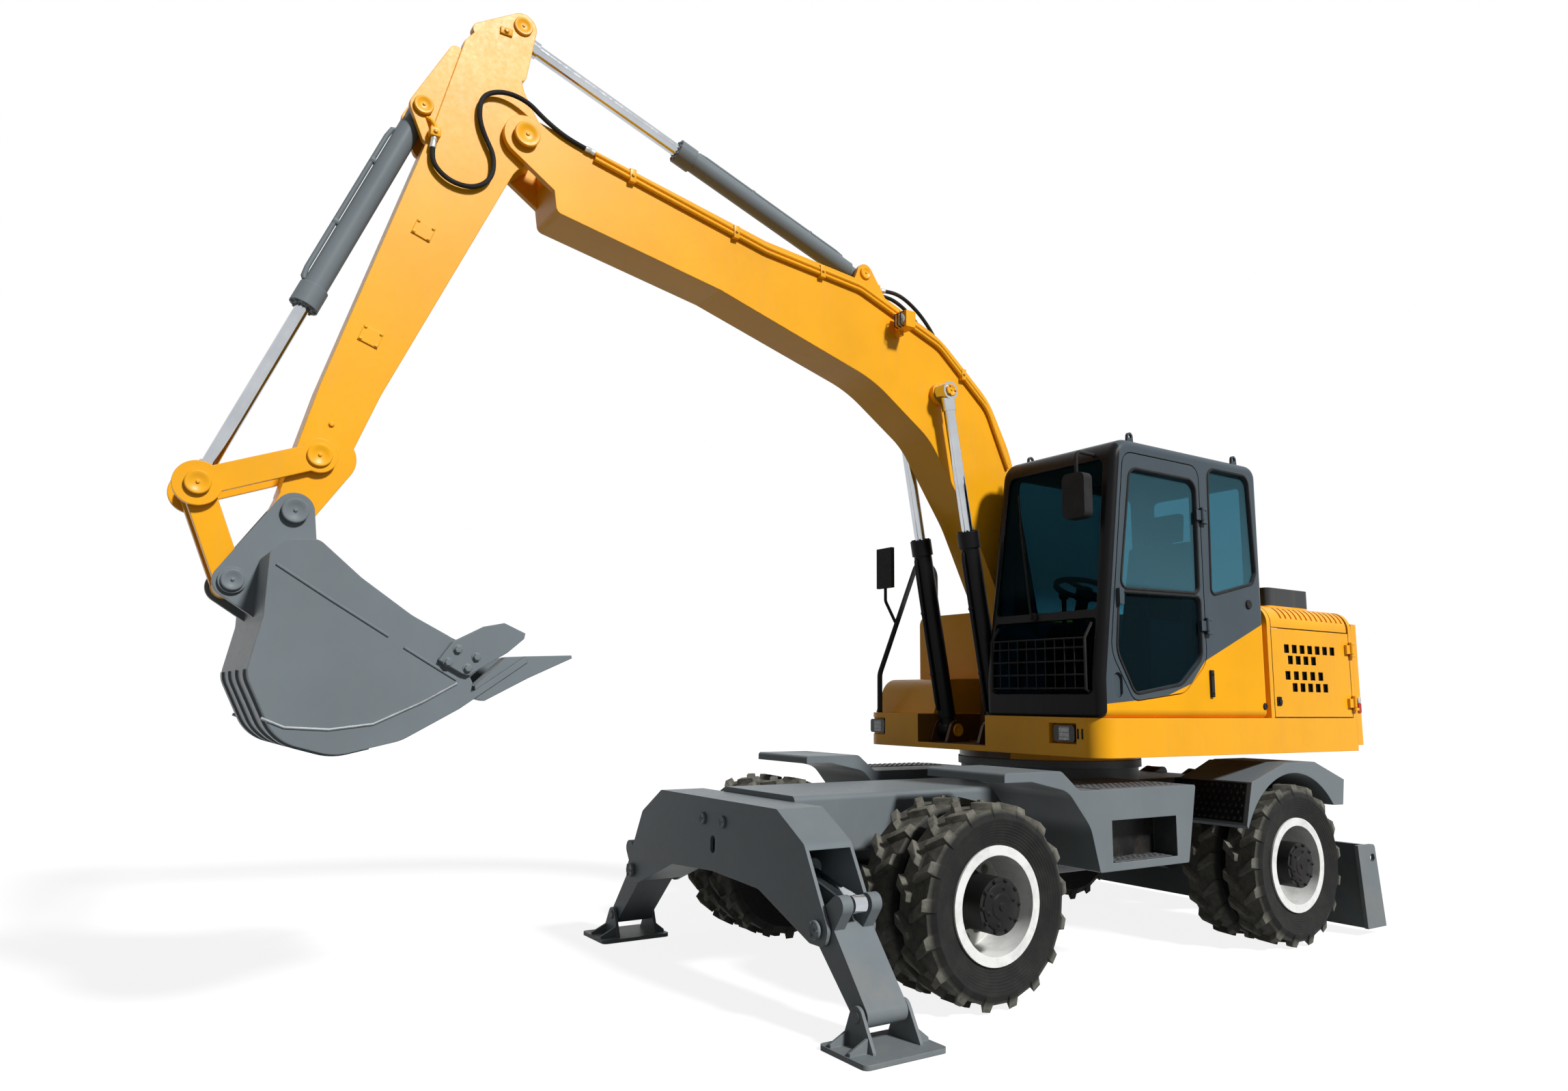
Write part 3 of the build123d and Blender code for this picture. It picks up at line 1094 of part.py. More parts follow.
def bucket_link():
    """Link from the rod's pin down to the bucket."""
    plate = band([(*ROD_PIN, 62), (*LINK_PIN, 60)])
    boss = BUCKET_EAR_Y - 8
    shape = rod_y(*LINK_PIN, 60, BOOM_Y - boss, BOOM_Y + boss)
    for side in (-1, 1):
        y = sorted((BOOM_Y + side * 58, BOOM_Y + side * 104))
        shape += along_y(plate, *y)
        shape -= rod_y(*ROD_PIN, 30 + PIN_GAP, y[0] - 1, y[1] + 1)
    return shape


def bucket_side():
    """Side view of the bucket's plates."""
    return [(4200, 1509.5), (4187, 1600), (4290, 1800, 60), (4473, 1893, 300), (4696, 2045, 200), (4880, 2200, 60),
            (5000, 2190, 40), (5068, 2130, 30), (5072, 1862, 60), (5120, 1620, 120), (4990, 1345, 200),
            (4757, 1279, 240), (4487, 1342, 200), (4239, 1482)]


def bucket_inside():
    return [(3780, 1842), (3780, 2030), (4560, 2010), (4700, 2030, 80), (4885, 2155, 50), (5040, 2090, 40),
            (5042, 1862, 60), (5088, 1622, 100), (4974, 1372, 180), (4757, 1308, 220), (4497, 1368, 200),
            (4253, 1508)]


def bucket():
    """Welded bucket: side plates, curved floor and back, lip, side cutters, wear strips and two pairs of ears."""
    y = (BOOM_Y - BUCKET_HALF_W, BOOM_Y + BUCKET_HALF_W)
    side_face = outline(bucket_side())
    inside = outline(bucket_inside())
    shape = along_y(side_face, *y)
    shape -= along_y(inside, y[0] + BUCKET_WALL, y[1] - BUCKET_WALL)
    shape += along_y(outline(LIP), *y)
    worn = offset(side_face, amount=WEAR_T) & make_face(Polyline(*WEAR_PART, close=True).edges())
    for at in WEAR_Y:
        strip_y = (BOOM_Y + at - WEAR_W / 2, BOOM_Y + at + WEAR_W / 2)
        shape += along_y(worn, *strip_y) - along_y(inside, *strip_y)
    for plate in ((y[0] - CUTTER_T, y[0] + 1), (y[1] - 1, y[1] + CUTTER_T)):
        shape += along_y(outline(CUTTER), *plate)
    ear = band([(*BUCKET_PIN, 85), (*LINK_PIN, 78), (4870, 2150, 40), (5060, 1900, 30)])
    inner = BUCKET_EAR_Y
    for side in (-1, 1):
        ear_y = sorted((BOOM_Y + side * inner, BOOM_Y + side * (inner + 32)))
        shape += along_y(ear, *ear_y) - along_y(inside, *ear_y)
        cap = sorted((BOOM_Y + side * inner, BOOM_Y + side * (inner + 48)))
        shape += rod_y(*LINK_PIN, 58, *cap)
    return shape + rod_y(*BUCKET_PIN, BUCKET_PIN_R, BOOM_Y - inner - 46, BOOM_Y + inner + 46)


def bucket_teeth():
    """Adapters that straddle the lip, each with its tooth."""
    tooth = outline(ADAPTER) - outline(LIP)
    pitch = 2 * TOOTH_REACH / (TEETH - 1)
    first = BOOM_Y - TOOTH_REACH
    half = TOOTH_W / 2
    return together(*[along_y(tooth, first + i * pitch - half, first + i * pitch + half) for i in range(TEETH)])


# Assembly

def nodes():
    """Every piece by name, in working axes."""
    tyres = twin_tyres()
    rim = twin_rim()
    pieces = {}
    for end, axle_x in (("front", FRONT_AXLE_X), ("rear", REAR_AXLE_X)):
        at = Pos(axle_x, 0, AXLE_Z)
        left_tyres = [at * one for one in tyres]
        pieces[f"tyres_{end}_left"] = together(*left_tyres)
        pieces[f"tyres_{end}_right"] = together(*[mirrored(one) for one in left_tyres])
        pieces[f"rims_{end}_left"] = at * rim
        pieces[f"rims_{end}_right"] = mirrored(at * rim)
    pieces["knuckle_left"] = knuckle()
    pieces["knuckle_right"] = mirrored(knuckle())
    pieces["tie_rod"] = tie_rod()
    pieces["front_axle"] = front_axle()
    pieces["rear_axle"] = rear_axle()
    pieces["drive_line"] = drive_line()
    pieces["chassis_frame"] = chassis_frame()
    pieces["slewing_ring"] = slewing_ring()
    pieces["fenders"] = fenders()
    pieces["outrigger_beam"] = outrigger_beam()
    leg = outrigger_leg()
    foot = outrigger_foot()
    leg_barrel, leg_rod = outrigger_cylinder()
    for name, piece in (("leg", leg), ("foot", foot), ("barrel", leg_barrel), ("rod", leg_rod)):
        pieces[f"outrigger_{name}_left"] = piece
        pieces[f"outrigger_{name}_right"] = mirrored(piece)
    pieces["dozer_blade"] = dozer_blade()
    pieces["blade_barrels"], pieces["blade_rods"] = blade_cylinders()
    pieces["upper_frame"] = upper_frame()
    pieces["front_lamps"] = front_lamps()
    pieces["cab_frame"] = cab_frame()
    pieces["cab_glass"] = cab_glass()
    pieces["cab_interior"] = cab_interior()
    pieces["cab_door"] = cab_door()
    pieces["cab_door_glass"] = cab_door_glass()
    pieces["counterweight"] = counterweight()
    pieces["engine_block"] = engine_block()
    pieces["rear_bodywork"] = rear_bodywork()
    pieces["side_door_left"] = side_door()
    pieces["side_door_right"] = mirrored(side_door())
    pieces["engine_hood"] = engine_hood()
    pieces["right_tanks"] = right_tanks()
    pieces["rails_and_mirrors"] = rails_and_mirrors()
    pieces["boom"] = boom()
    pieces["boom_pipes"] = boom_pipes()
    pieces["boom_barrels"], pieces["boom_rods"] = boom_cylinders()
    pieces["arm"] = arm()
    pieces["arm_barrel"], pieces["arm_rod"] = arm_cylinder()
    pieces["bucket_barrel"], pieces["bucket_rod"] = bucket_cylinder()
    pieces["rocker_links"] = rocker_links()
    pieces["bucket_link"] = bucket_link()
    pieces["bucket"] = bucket()
    pieces["bucket_teeth"] = bucket_teeth()
    return pieces


def main():
    os.makedirs("parts", exist_ok=True)
    for name, piece in nodes().items():
        export_step(Pos(SLEW_X, 0, 0) * piece, f"parts/{name}.step")


if __name__ == "__main__":
    main()
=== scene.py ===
import bmesh
import bpy
import math
from mathutils import Matrix, Vector


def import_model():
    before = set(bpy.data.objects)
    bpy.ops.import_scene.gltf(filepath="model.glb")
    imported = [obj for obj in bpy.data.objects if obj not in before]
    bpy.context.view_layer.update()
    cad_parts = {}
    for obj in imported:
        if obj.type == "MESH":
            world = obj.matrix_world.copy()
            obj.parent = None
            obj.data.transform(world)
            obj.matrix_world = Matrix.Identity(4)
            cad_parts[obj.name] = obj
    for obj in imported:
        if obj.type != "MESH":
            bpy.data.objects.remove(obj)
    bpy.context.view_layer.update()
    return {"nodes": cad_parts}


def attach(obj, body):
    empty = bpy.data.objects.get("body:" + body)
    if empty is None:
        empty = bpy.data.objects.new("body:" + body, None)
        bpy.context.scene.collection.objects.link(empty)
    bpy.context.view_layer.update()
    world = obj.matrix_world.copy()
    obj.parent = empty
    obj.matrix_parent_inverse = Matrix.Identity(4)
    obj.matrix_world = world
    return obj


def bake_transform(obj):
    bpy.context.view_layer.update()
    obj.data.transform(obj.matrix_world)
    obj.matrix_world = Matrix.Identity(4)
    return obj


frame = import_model()
nodes = frame["nodes"]

# Millimetres about the slewing axis
FRONT_WHEEL_X = 1700
REAR_WHEEL_X = -1000
AXLE_HEIGHT = 515
BOOM_Y = -120
BOOM_CYLINDER_Y = 238
ARM_HALF = 108
SIDE_Y = 1140

# Pins of the digging gear as (x, z), in the same millimetres
BOOM_FOOT = (150, 1880)
BOOM_CYLINDER_BASE = (600, 1345)
BOOM_CYLINDER_EYE = (1020, 3600)
ARM_PIN = (3952, 4527)
ARM_CYLINDER_BASE = (1600, 4345)
ARM_CYLINDER_EYE = (3984, 5183)
BUCKET_CYLINDER_BASE = (4481, 4547)
BUCKET_CYLINDER_EYE = (5333, 2452)
ROCKER_PIN = (4849, 2642)
LINK_PIN = (5169, 2030)
BUCKET_PIN = (4941, 2362)

# Metres in the row frame
SLEW_X = -1.609
AXLE_Z = AXLE_HEIGHT / 1000
FRONT_AXLE = FRONT_WHEEL_X / 1000 + SLEW_X
REAR_AXLE = REAR_WHEEL_X / 1000 + SLEW_X


def at(x, y, z):
    """Point in the row frame from millimetres about the slewing axis."""
    return Vector((x / 1000 + SLEW_X, y / 1000, z / 1000))


# Node-graph helpers

class Graph:
    """Short calls for building one material's nodes."""

    def __init__(self, name):
        self.mat = bpy.data.materials.new(name)
        self.mat.use_nodes = True
        self.tree = self.mat.node_tree
        self.tree.nodes.clear()
        self.end = self.tree.nodes.new("ShaderNodeOutputMaterial")

    def add(self, kind, **inputs):
        node = self.tree.nodes.new(kind)
        for key, value in inputs.items():
            self.set(node, key.replace("_", " "), value)
        return node

    def set(self, node, key, value):
        socket = node.inputs[int(key)] if key.isdigit() else node.inputs[key]
        if isinstance(value, bpy.types.NodeSocket):
            self.tree.links.new(value, socket)
        elif isinstance(value, (tuple, list)) and len(value) == 3 and socket.type == "RGBA":
            socket.default_value = (*value, 1)
        else:
            socket.default_value = value

    def math(self, op, a, b=0.0):
        node = self.tree.nodes.new("ShaderNodeMath")
        node.operation = op
        self.set(node, "0", a)
        self.set(node, "1", b)
        return node.outputs[0]

    def mix(self, fac, a, b):
        node = self.tree.nodes.new("ShaderNodeMix")
        node.data_type = "RGBA"
        self.set(node, "0", fac)
        self.set(node, "6", a)
        self.set(node, "7", b)
        return node.outputs[2]

    def span(self, value, low, high, to_low=0.0, to_high=1.0):
        """Straight ramp between two values, level outside them."""
        node = self.add("ShaderNodeMapRange", Value=value, From_Min=low, From_Max=high,
                        To_Min=to_low, To_Max=to_high)
        node.clamp = True
        return node.outputs[0]

    def band(self, value, low, high):
        """1 where a value lies between two soft edges, each given as (outside, inside)."""
        return self.math("MULTIPLY", self.span(value, *low), self.span(value, *high))

    def place(self):
        """Place on the piece; every piece's own axes are those of the row frame at rest."""
        return self.tree.nodes.new("ShaderNodeTexCoord").outputs["Object"]

    def xyz(self, vector):
        node = self.tree.nodes.new("ShaderNodeSeparateXYZ")
        self.tree.links.new(vector, node.inputs[0])
        return node.outputs

    def noise(self, vector, scale, detail=4.0, rough=0.55, stretch=None):
        if stretch:
            mapping = self.tree.nodes.new("ShaderNodeMapping")
            mapping.inputs["Scale"].default_value = stretch
            self.tree.links.new(vector, mapping.inputs["Vector"])
            vector = mapping.outputs[0]
        node = self.add("ShaderNodeTexNoise", Vector=vector, Scale=scale, Detail=detail, Roughness=rough)
        return node.outputs["Fac"]

    def voronoi(self, vector, scale):
        return self.add("ShaderNodeTexVoronoi", Vector=vector, Scale=scale).outputs["Distance"]

    def bevel(self, radius):
        node = self.tree.nodes.new("ShaderNodeBevel")
        node.samples = 4
        node.inputs["Radius"].default_value = radius
        return node.outputs[0]

    def edges(self, rounded):
        """1 on edges, where the rounded normal leaves the true one."""
        geometry = self.tree.nodes.new("ShaderNodeNewGeometry")
        dot = self.tree.nodes.new("ShaderNodeVectorMath")
        dot.operation = "DOT_PRODUCT"
        self.tree.links.new(geometry.outputs["Normal"], dot.inputs[0])
        self.tree.links.new(rounded, dot.inputs[1])
        return self.span(self.math("SUBTRACT", 1.0, dot.outputs["Value"]), 0.02, 0.22)

    def bump(self, height, strength, distance=0.002, normal=None):
        node = self.add("ShaderNodeBump", Height=height, Strength=strength, Distance=distance)
        if normal is not None:
            self.tree.links.new(normal, node.inputs["Normal"])
        return node.outputs[0]

    def surface(self, **inputs):
        node = self.add("ShaderNodeBsdfPrincipled", **inputs)
        self.tree.links.new(node.outputs[0], self.end.inputs["Surface"])
        return self.mat


def shade(colour, factor):
    return tuple(min(1.0, c * factor) for c in colour)


YELLOW = (0.90, 0.405, 0.006)
SLATE = (0.165, 0.192, 0.207)
CHARCOAL = (0.062, 0.082, 0.096)
BLACK = (0.004, 0.004, 0.005)
# Near black, for the black hub and lamp housing, and for painted shade in the steps' openings
NEAR_BLACK_AND_SHADE = (0.010, 0.010, 0.011)
WORN_YELLOW = (0.55, 0.40, 0.22)
WORN_SLATE = (0.30, 0.32, 0.33)
PAINT_DUST = (0.30, 0.25, 0.19)
RUBBER_DUST = (0.15, 0.14, 0.115)
EDGE_WEAR = 0.5
LUG_RADIUS = (0.456, 0.488)
SIDEWALL_RADIUS = (0.43, 0.40)


def paint(name, colour, rough, worn=None, dusty=0.25, pick=None, shine=0.22, streak=0.07):
    """Sprayed machine paint: slow colour drift, faint runs and dust, rubbed edges and orange peel.
    pick(graph, place) may give (mask, other colour) pairs painted over the ground colour."""
    g = Graph(name)
    p = g.place()
    drift = g.noise(p, 1.7, 5)
    fine = g.noise(p, 42, 6, 0.6)
    base = g.mix(g.span(drift, 0.3, 0.7), shade(colour, 0.9), shade(colour, 1.05))
    if pick:
        for mask, other in pick(g, p):
            tone = g.mix(g.span(drift, 0.3, 0.7), shade(other, 0.9), shade(other, 1.05))
            base = g.mix(mask, base, tone)
    runs = g.span(g.noise(p, 5, 6, 0.6, stretch=(3.2, 3.2, 0.35)), 0.52, 0.78)
    base = g.mix(g.math("MULTIPLY", runs, streak), base, PAINT_DUST)
    low = g.span(g.xyz(p)[2], 1.25, 0.05)
    patches = g.span(g.noise(p, 6, 7, 0.65), 0.42, 0.72)
    soil = g.math("MULTIPLY", g.math("MULTIPLY", low, patches), dusty)
    base = g.mix(soil, base, PAINT_DUST)
    rounded = g.bevel(0.007)
    rub = g.math("MULTIPLY", g.edges(rounded), g.span(g.noise(p, 18, 6, 0.7), 0.44, 0.62))
    base = g.mix(g.math("MULTIPLY", rub, EDGE_WEAR), base, worn or shade(colour, 1.5))
    gloss = g.span(fine, 0.2, 0.8, rough - 0.06, rough + 0.08)
    finish = g.math("ADD", gloss, g.math("MULTIPLY", soil, 0.35))
    peel = g.bump(g.noise(p, 260, 2), 0.05, 0.001, rounded)
    dents = g.bump(g.noise(p, 4.5, 3), 0.10, 0.006, peel)
    return g.surface(Base_Color=base, Roughness=finish, Normal=dents, Specular_IOR_Level=shine)


def from_axle(g, p, axle_x, axle_z):
    """Distance from an axle's line, which runs along y."""
    x, y, z = g.xyz(p)
    dx = g.math("SUBTRACT", x, axle_x)
    dz = g.math("SUBTRACT", z, axle_z)
    return g.math("SQRT", g.math("ADD", g.math("MULTIPLY", dx, dx), g.math("MULTIPLY", dz, dz)))


def rubber(name, colour, dusty, axles=()):
    """Rubber with a grain and a film of dust. axles are the (x, z) of wheels,
    whose lugs are paler with dried soil and whose sidewalls are ringed."""
    g = Graph(name)
    p = g.place()
    grain = g.noise(p, 90, 6, 0.7)
    base = g.mix(grain, shade(colour, 0.7), shade(colour, 1.35))
    film = g.math("MULTIPLY", g.span(g.noise(p, 9, 7, 0.65), 0.42, 0.78), dusty)
    base = g.mix(film, base, RUBBER_DUST)
    for x, z in axles:
        lug = g.span(from_axle(g, p, x, z), *LUG_RADIUS)
        near = g.span(g.math("ABSOLUTE", g.math("SUBTRACT", g.xyz(p)[0], x)), 0.9, 0.8)
        crust = g.span(g.noise(p, 14, 7, 0.7), 0.30, 0.66, 0.25, 0.95)
        soil = g.math("MULTIPLY", g.math("MULTIPLY", lug, near), crust)
        base = g.mix(soil, base, g.mix(grain, (0.13, 0.127, 0.105), (0.265, 0.256, 0.212)))
    rounded = g.bevel(0.008)
    rough = g.span(grain, 0.2, 0.8, 0.62, 0.85)
    skin = g.bump(g.noise(p, 320, 4), 0.22, 0.002, rounded)
    if axles:
        nearest = g.math("MINIMUM", *[from_axle(g, p, x, z) for x, z in axles])
        wave = g.math("SINE", g.math("MULTIPLY", nearest, 420.0))
        rings = g.math("MULTIPLY", wave, g.span(nearest, *SIDEWALL_RADIUS))
        skin = g.bump(rings, 0.35, 0.0025, skin)
    return g.surface(Base_Color=base, Roughness=rough, Normal=skin, Specular_IOR_Level=0.14)


def chrome():
    """Hard chrome with faint smears of oil in its roughness, and painted dark reflections in its base colour."""
    g = Graph("hard_chrome")
    p = g.place()
    film = g.span(g.noise(p, 26, 6, 0.6), 0.35, 0.8, 0.07, 0.20)
    # Grey base mottled between two tones: the chrome's own grey, darkened as painted dark reflections
    base = g.mix(g.noise(p, 6, 4), (0.40, 0.43, 0.47), (0.62, 0.64, 0.66))
    grain = g.bump(g.noise(p, 400, 2), 0.02, 0.0005)
    return g.surface(Base_Color=base, Metallic=1.0, Roughness=film, Normal=grain)


def glass():
    """Tinted pane, darkest in the windscreen as painted shade, with a pale film on the panes above the door's bar
    as a painted reflection.
    Shadow and diffuse rays go straight through, which keeps the cab's inside free of noise."""
    g = Graph("tinted_glass")
    p = g.place()
    tint = g.mix(g.noise(p, 1.2, 3), (0.15, 0.36, 0.44), (0.19, 0.41, 0.49))
    # Painted shade: a darker tint on the windscreen and the cab's front
    tint = g.mix(front_mask(g, p), tint, (0.030, 0.085, 0.105))
    z = g.xyz(p)[2]
    # Painted reflection: the panes above the door's bar let less light through and show their tint as a pale film,
    # strongest just above the bar
    clear = g.math("ADD", g.span(z, 2.18, 2.26, 0.98, 0.76), g.span(z, 2.26, 3.0, 0.0, 0.10))
    g.surface(Base_Color=tint, Roughness=0.0, Transmission_Weight=clear, IOR=1.03)
    body = g.end.inputs["Surface"].links[0].from_socket
    through = g.add("ShaderNodeBsdfTransparent", Color=tint)
    path = g.tree.nodes.new("ShaderNodeLightPath")
    mix = g.tree.nodes.new("ShaderNodeMixShader")
    straight = g.math("MAXIMUM", path.outputs["Is Shadow Ray"], path.outputs["Is Diffuse Ray"])
    g.tree.links.new(straight, mix.inputs[0])
    g.tree.links.new(body, mix.inputs[1])
    g.tree.links.new(through.outputs[0], mix.inputs[2])
    g.tree.links.new(mix.outputs[0], g.end.inputs["Surface"])
    return g.mat


def iron(name, colour, rough=0.55, metallic=0.35):
    """Bare or cast metal, mottled, with bright rubbed edges."""
    g = Graph(name)
    p = g.place()
    lump = g.noise(p, 30, 6, 0.65)
    base = g.mix(g.span(lump, 0.3, 0.7), shade(colour, 0.75), shade(colour, 1.25))
    rounded = g.bevel(0.006)
    rub = g.math("MULTIPLY", g.edges(rounded), g.span(g.noise(p, 22, 5, 0.7), 0.42, 0.6))
    base = g.mix(g.math("MULTIPLY", rub, 0.6), base, shade(colour, 2.6))
    skin = g.bump(g.noise(p, 140, 5), 0.15, 0.002, rounded)
    finish = g.span(lump, 0.2, 0.8, rough - 0.1, rough + 0.1)
    return g.surface(Base_Color=base, Roughness=finish, Metallic=metallic, Normal=skin)


def fabric():
    """Dark woven cloth."""
    g = Graph("seat_cloth")
    p = g.place()
    warp = g.add("ShaderNodeTexWave", Vector=p, Scale=45.0, Distortion=1.5)
    weft = g.add("ShaderNodeTexWave", Vector=p, Scale=45.0, Distortion=1.5)
    weft.bands_direction = "Z"
    weave = g.math("MULTIPLY", warp.outputs["Fac"], weft.outputs["Fac"])
    base = g.mix(weave, (0.014, 0.0145, 0.0155), (0.020, 0.021, 0.022))
    threads = g.bump(weave, 0.05, 0.001)
    return g.surface(Base_Color=base, Roughness=0.9, Specular_IOR_Level=0.1, Normal=threads)


def wheel_paint(name, axle_x):
    """Rim: white rim edge, pale grey dish, black hub, told apart by their distance from the axle."""
    g = Graph(name)
    p = g.place()
    radius = from_axle(g, p, axle_x, AXLE_Z)
    drift = g.noise(p, 8, 6, 0.6)
    dish = g.mix(drift, (0.52, 0.515, 0.48), (0.66, 0.65, 0.60))
    edge = g.mix(drift, (0.78, 0.78, 0.76), (0.86, 0.86, 0.84))
    hub = g.mix(drift, (0.008, 0.008, 0.008), (0.014, 0.014, 0.014))
    base = g.mix(g.span(radius, 0.244, 0.247), dish, edge)
    base = g.mix(g.span(radius, 0.1585, 0.1575), base, hub)
    patches = g.span(g.noise(p, 12, 7, 0.65), 0.46, 0.75)
    soil = g.math("MULTIPLY", patches, g.span(radius, 0.157, 0.17, 0.04, 0.30))
    base = g.mix(soil, base, (0.16, 0.13, 0.10))
    finish = g.span(drift, 0.2, 0.8, 0.42, 0.58)
    skin = g.bump(g.noise(p, 200, 3), 0.05, 0.001, g.bevel(0.005))
    return g.surface(Base_Color=base, Roughness=finish, Specular_IOR_Level=0.18, Normal=skin)


# The cab's paint line as (x, z), and the leaning face of its front, in millimetres
PAINT_LINE = [(759, 1535), (496, 1556), (177, 1593), (-50, 1665), (-199, 1809), (-958, 2120)]
FRONT_X = 792
FRONT_KNEE = 1680
FRONT_LEAN = 0.1388
FRONT_DEPTH = 0.048


def side_line(g, p):
    """1 below the paint line on the cab's left side, a line of straight runs."""
    x, y, z = g.xyz(p)
    height = None
    for (x0, z0), (x1, z1) in zip(PAINT_LINE, PAINT_LINE[1:]):
        part = g.span(x, x0 / 1000 + SLEW_X, x1 / 1000 + SLEW_X, 0.0, (z1 - z0) / 1000)
        height = part if height is None else g.math("ADD", height, part)
    line = g.math("ADD", height, PAINT_LINE[0][1] / 1000)
    below = g.span(g.math("SUBTRACT", line, z), -0.002, 0.002)
    left = g.span(y, 1.085, 1.092)
    return g.math("MULTIPLY", below, left)


def front_mask(g, p):
    """1 on the cab's front frame and windscreen."""
    x, y, z = g.xyz(p)
    rise = g.math("MAXIMUM", g.math("SUBTRACT", z, FRONT_KNEE / 1000), 0.0)
    front = g.math("ADD", g.math("MULTIPLY", rise, -FRONT_LEAN), FRONT_X / 1000 + SLEW_X - FRONT_DEPTH)
    return g.span(g.math("SUBTRACT", x, front), -0.002, 0.002)


def cab_pick(g, p):
    """Yellow below the paint line and black in front."""
    return [(side_line(g, p), YELLOW), (front_mask(g, p), BLACK)]


def hood_pick(g, p):
    """Dark grey on the box that stands up from the hood."""
    return [(g.span(g.xyz(p)[2], 2.2365, 2.2375), (0.030, 0.034, 0.038))]


def vent_shade_pick(g, p):
    """Painted shade: dark in the vent pockets of the side doors."""
    depth = g.math("ABSOLUTE", g.xyz(p)[1])
    return [(g.band(depth, (1.108, 1.110), (1.1378, 1.1368)), (0.012, 0.009, 0.006))]


def step_shade_pick(g, p):
    """Painted shade: black inside the step's opening in each side box."""
    x, y, z = g.xyz(p)
    across = g.band(x, (-1.372, -1.368), (-0.796, -0.800))
    inside = g.math("MULTIPLY", across, g.band(z, (0.656, 0.660), (0.894, 0.890)))
    deep = g.span(g.math("ABSOLUTE", y), 1.1985, 1.1965)
    return [(g.math("MULTIPLY", inside, deep), NEAR_BLACK_AND_SHADE)]


def bay_shade_pick(g, p):
    """Painted shade: dark brown in the boom's bay, behind the deck's front face."""
    x, y, z = g.xyz(p)
    bay = g.band(y, (-0.462, -0.455), (0.206, 0.200))
    inner = g.math("MULTIPLY", bay, g.span(x, -0.8095, -0.8115))
    # Painted shade in the bay, a shaded copy of the yellow paint
    return [(inner, (0.10, 0.042, 0.012))]


# Lamp lenses

LAMP_Y = (0.850, -0.920)
LAMP_Z = 1.360
LENS_HALF = (0.040, 0.037)


def lens():
    """Black lamp housing with a ribbed clear lens in its middle."""
    g = Graph("lamp_lens")
    p = g.place()
    x, y, z = g.xyz(p)
    across = g.math("MINIMUM", *[g.math("ABSOLUTE", g.math("SUBTRACT", y, lamp_y)) for lamp_y in LAMP_Y])
    upward = g.math("ABSOLUTE", g.math("SUBTRACT", z, LAMP_Z))
    inside = g.math("MULTIPLY", g.span(across, *LENS_HALF), g.span(upward, *LENS_HALF))
    cells = g.voronoi(p, 55)
    bars = g.add("ShaderNodeTexWave", Vector=p, Scale=11.5, Distortion=0.0)
    bars.bands_direction = "Z"
    bright = g.mix(g.span(cells, 0.1, 0.6), (0.72, 0.74, 0.74), (0.40, 0.42, 0.43))
    bright = g.mix(g.span(bars.outputs["Fac"], 0.15, 0.0), bright, (0.10, 0.10, 0.11))
    base = g.mix(inside, NEAR_BLACK_AND_SHADE, bright)
    finish = g.span(inside, 0.0, 1.0, 0.5, 0.15)
    return g.surface(Base_Color=base, Roughness=finish, Normal=g.bump(cells, 0.3, 0.004))


def clear():
    """Moulded lamp glass over a bright reflector."""
    g = Graph("clear_lens")
    p = g.place()
    cells = g.voronoi(p, 70)
    base = g.mix(g.span(cells, 0.1, 0.6), (0.74, 0.75, 0.75), (0.42, 0.44, 0.45))
    finish = g.span(cells, 0.0, 0.7, 0.10, 0.25)
    return g.surface(Base_Color=base, Roughness=finish, Normal=g.bump(cells, 0.3, 0.003))


# Materials

YELLOW_FINISH = {"rough": 0.34, "worn": WORN_YELLOW}
SLATE_FINISH = {"rough": 0.42, "worn": WORN_SLATE, "dusty": 0.30, "shine": 0.13, "streak": 0.05}

yellow = paint("yellow_paint", YELLOW, **YELLOW_FINISH)
slate = paint("slate_paint", SLATE, **SLATE_FINISH)
# Slate fender paint, with painted shade inside the steps' openings
fender_paint_and_step_shade = paint("fender_paint_and_step_shade", SLATE, pick=step_shade_pick, **SLATE_FINISH)
black = paint("black_paint", BLACK, 0.40, worn=(0.06, 0.06, 0.06), dusty=0.12, shine=0.12, streak=0.02)
hub_black = paint("hub_paint", NEAR_BLACK_AND_SHADE, 0.46, worn=(0.05, 0.05, 0.05), dusty=0.06, shine=0.10, streak=0.02)
signal_red = paint("lamp_red", (0.42, 0.016, 0.010), 0.25, dusty=0.1)
charcoal = paint("charcoal_paint", CHARCOAL, 0.40, worn=(0.16, 0.17, 0.18), pick=cab_pick, shine=0.10, streak=0.02)
# Yellow door paint, with painted shade in the vent pockets
door_paint_and_vent_shade = paint("vented_door_paint_and_shade", YELLOW, 0.36, worn=WORN_YELLOW, pick=vent_shade_pick)
hood_paint = paint("hood_paint", YELLOW, pick=hood_pick, **YELLOW_FINISH)
# Yellow deck paint, with painted shade in the boom's bay
deck_paint_and_bay_shade = paint("deck_paint_and_bay_shade", YELLOW, pick=bay_shade_pick, **YELLOW_FINISH)
tyre_rubber = rubber("tyre_rubber", (0.013, 0.013, 0.013), 0.10, axles=((FRONT_AXLE, AXLE_Z), (REAR_AXLE, AXLE_Z)))
hose_rubber = rubber("hose_rubber", (0.014, 0.014, 0.014), 0.12)
trim = rubber("black_trim", (0.017, 0.017, 0.018), 0.12)
steel_dark = iron("worn_steel", (0.20, 0.20, 0.20), 0.48, 0.6)
weld_steel = iron("weld_beads", (0.20, 0.22, 0.23), 0.42, 0.2)
zinc = iron("zinc_fittings", (0.42, 0.42, 0.40), 0.36, 0.9)
stud_plate = iron("stud_plate", (0.10, 0.103, 0.106), 0.5, 0.3)
cast = iron("dark_casting", (0.060, 0.063, 0.066))
rod_chrome = chrome()
pane = glass()
cloth = fabric()
rim_front = wheel_paint("rim_paint_front", FRONT_AXLE)
rim_rear = wheel_paint("rim_paint_rear", REAR_AXLE)
lamp_lens = lens()
clear_lens = clear()

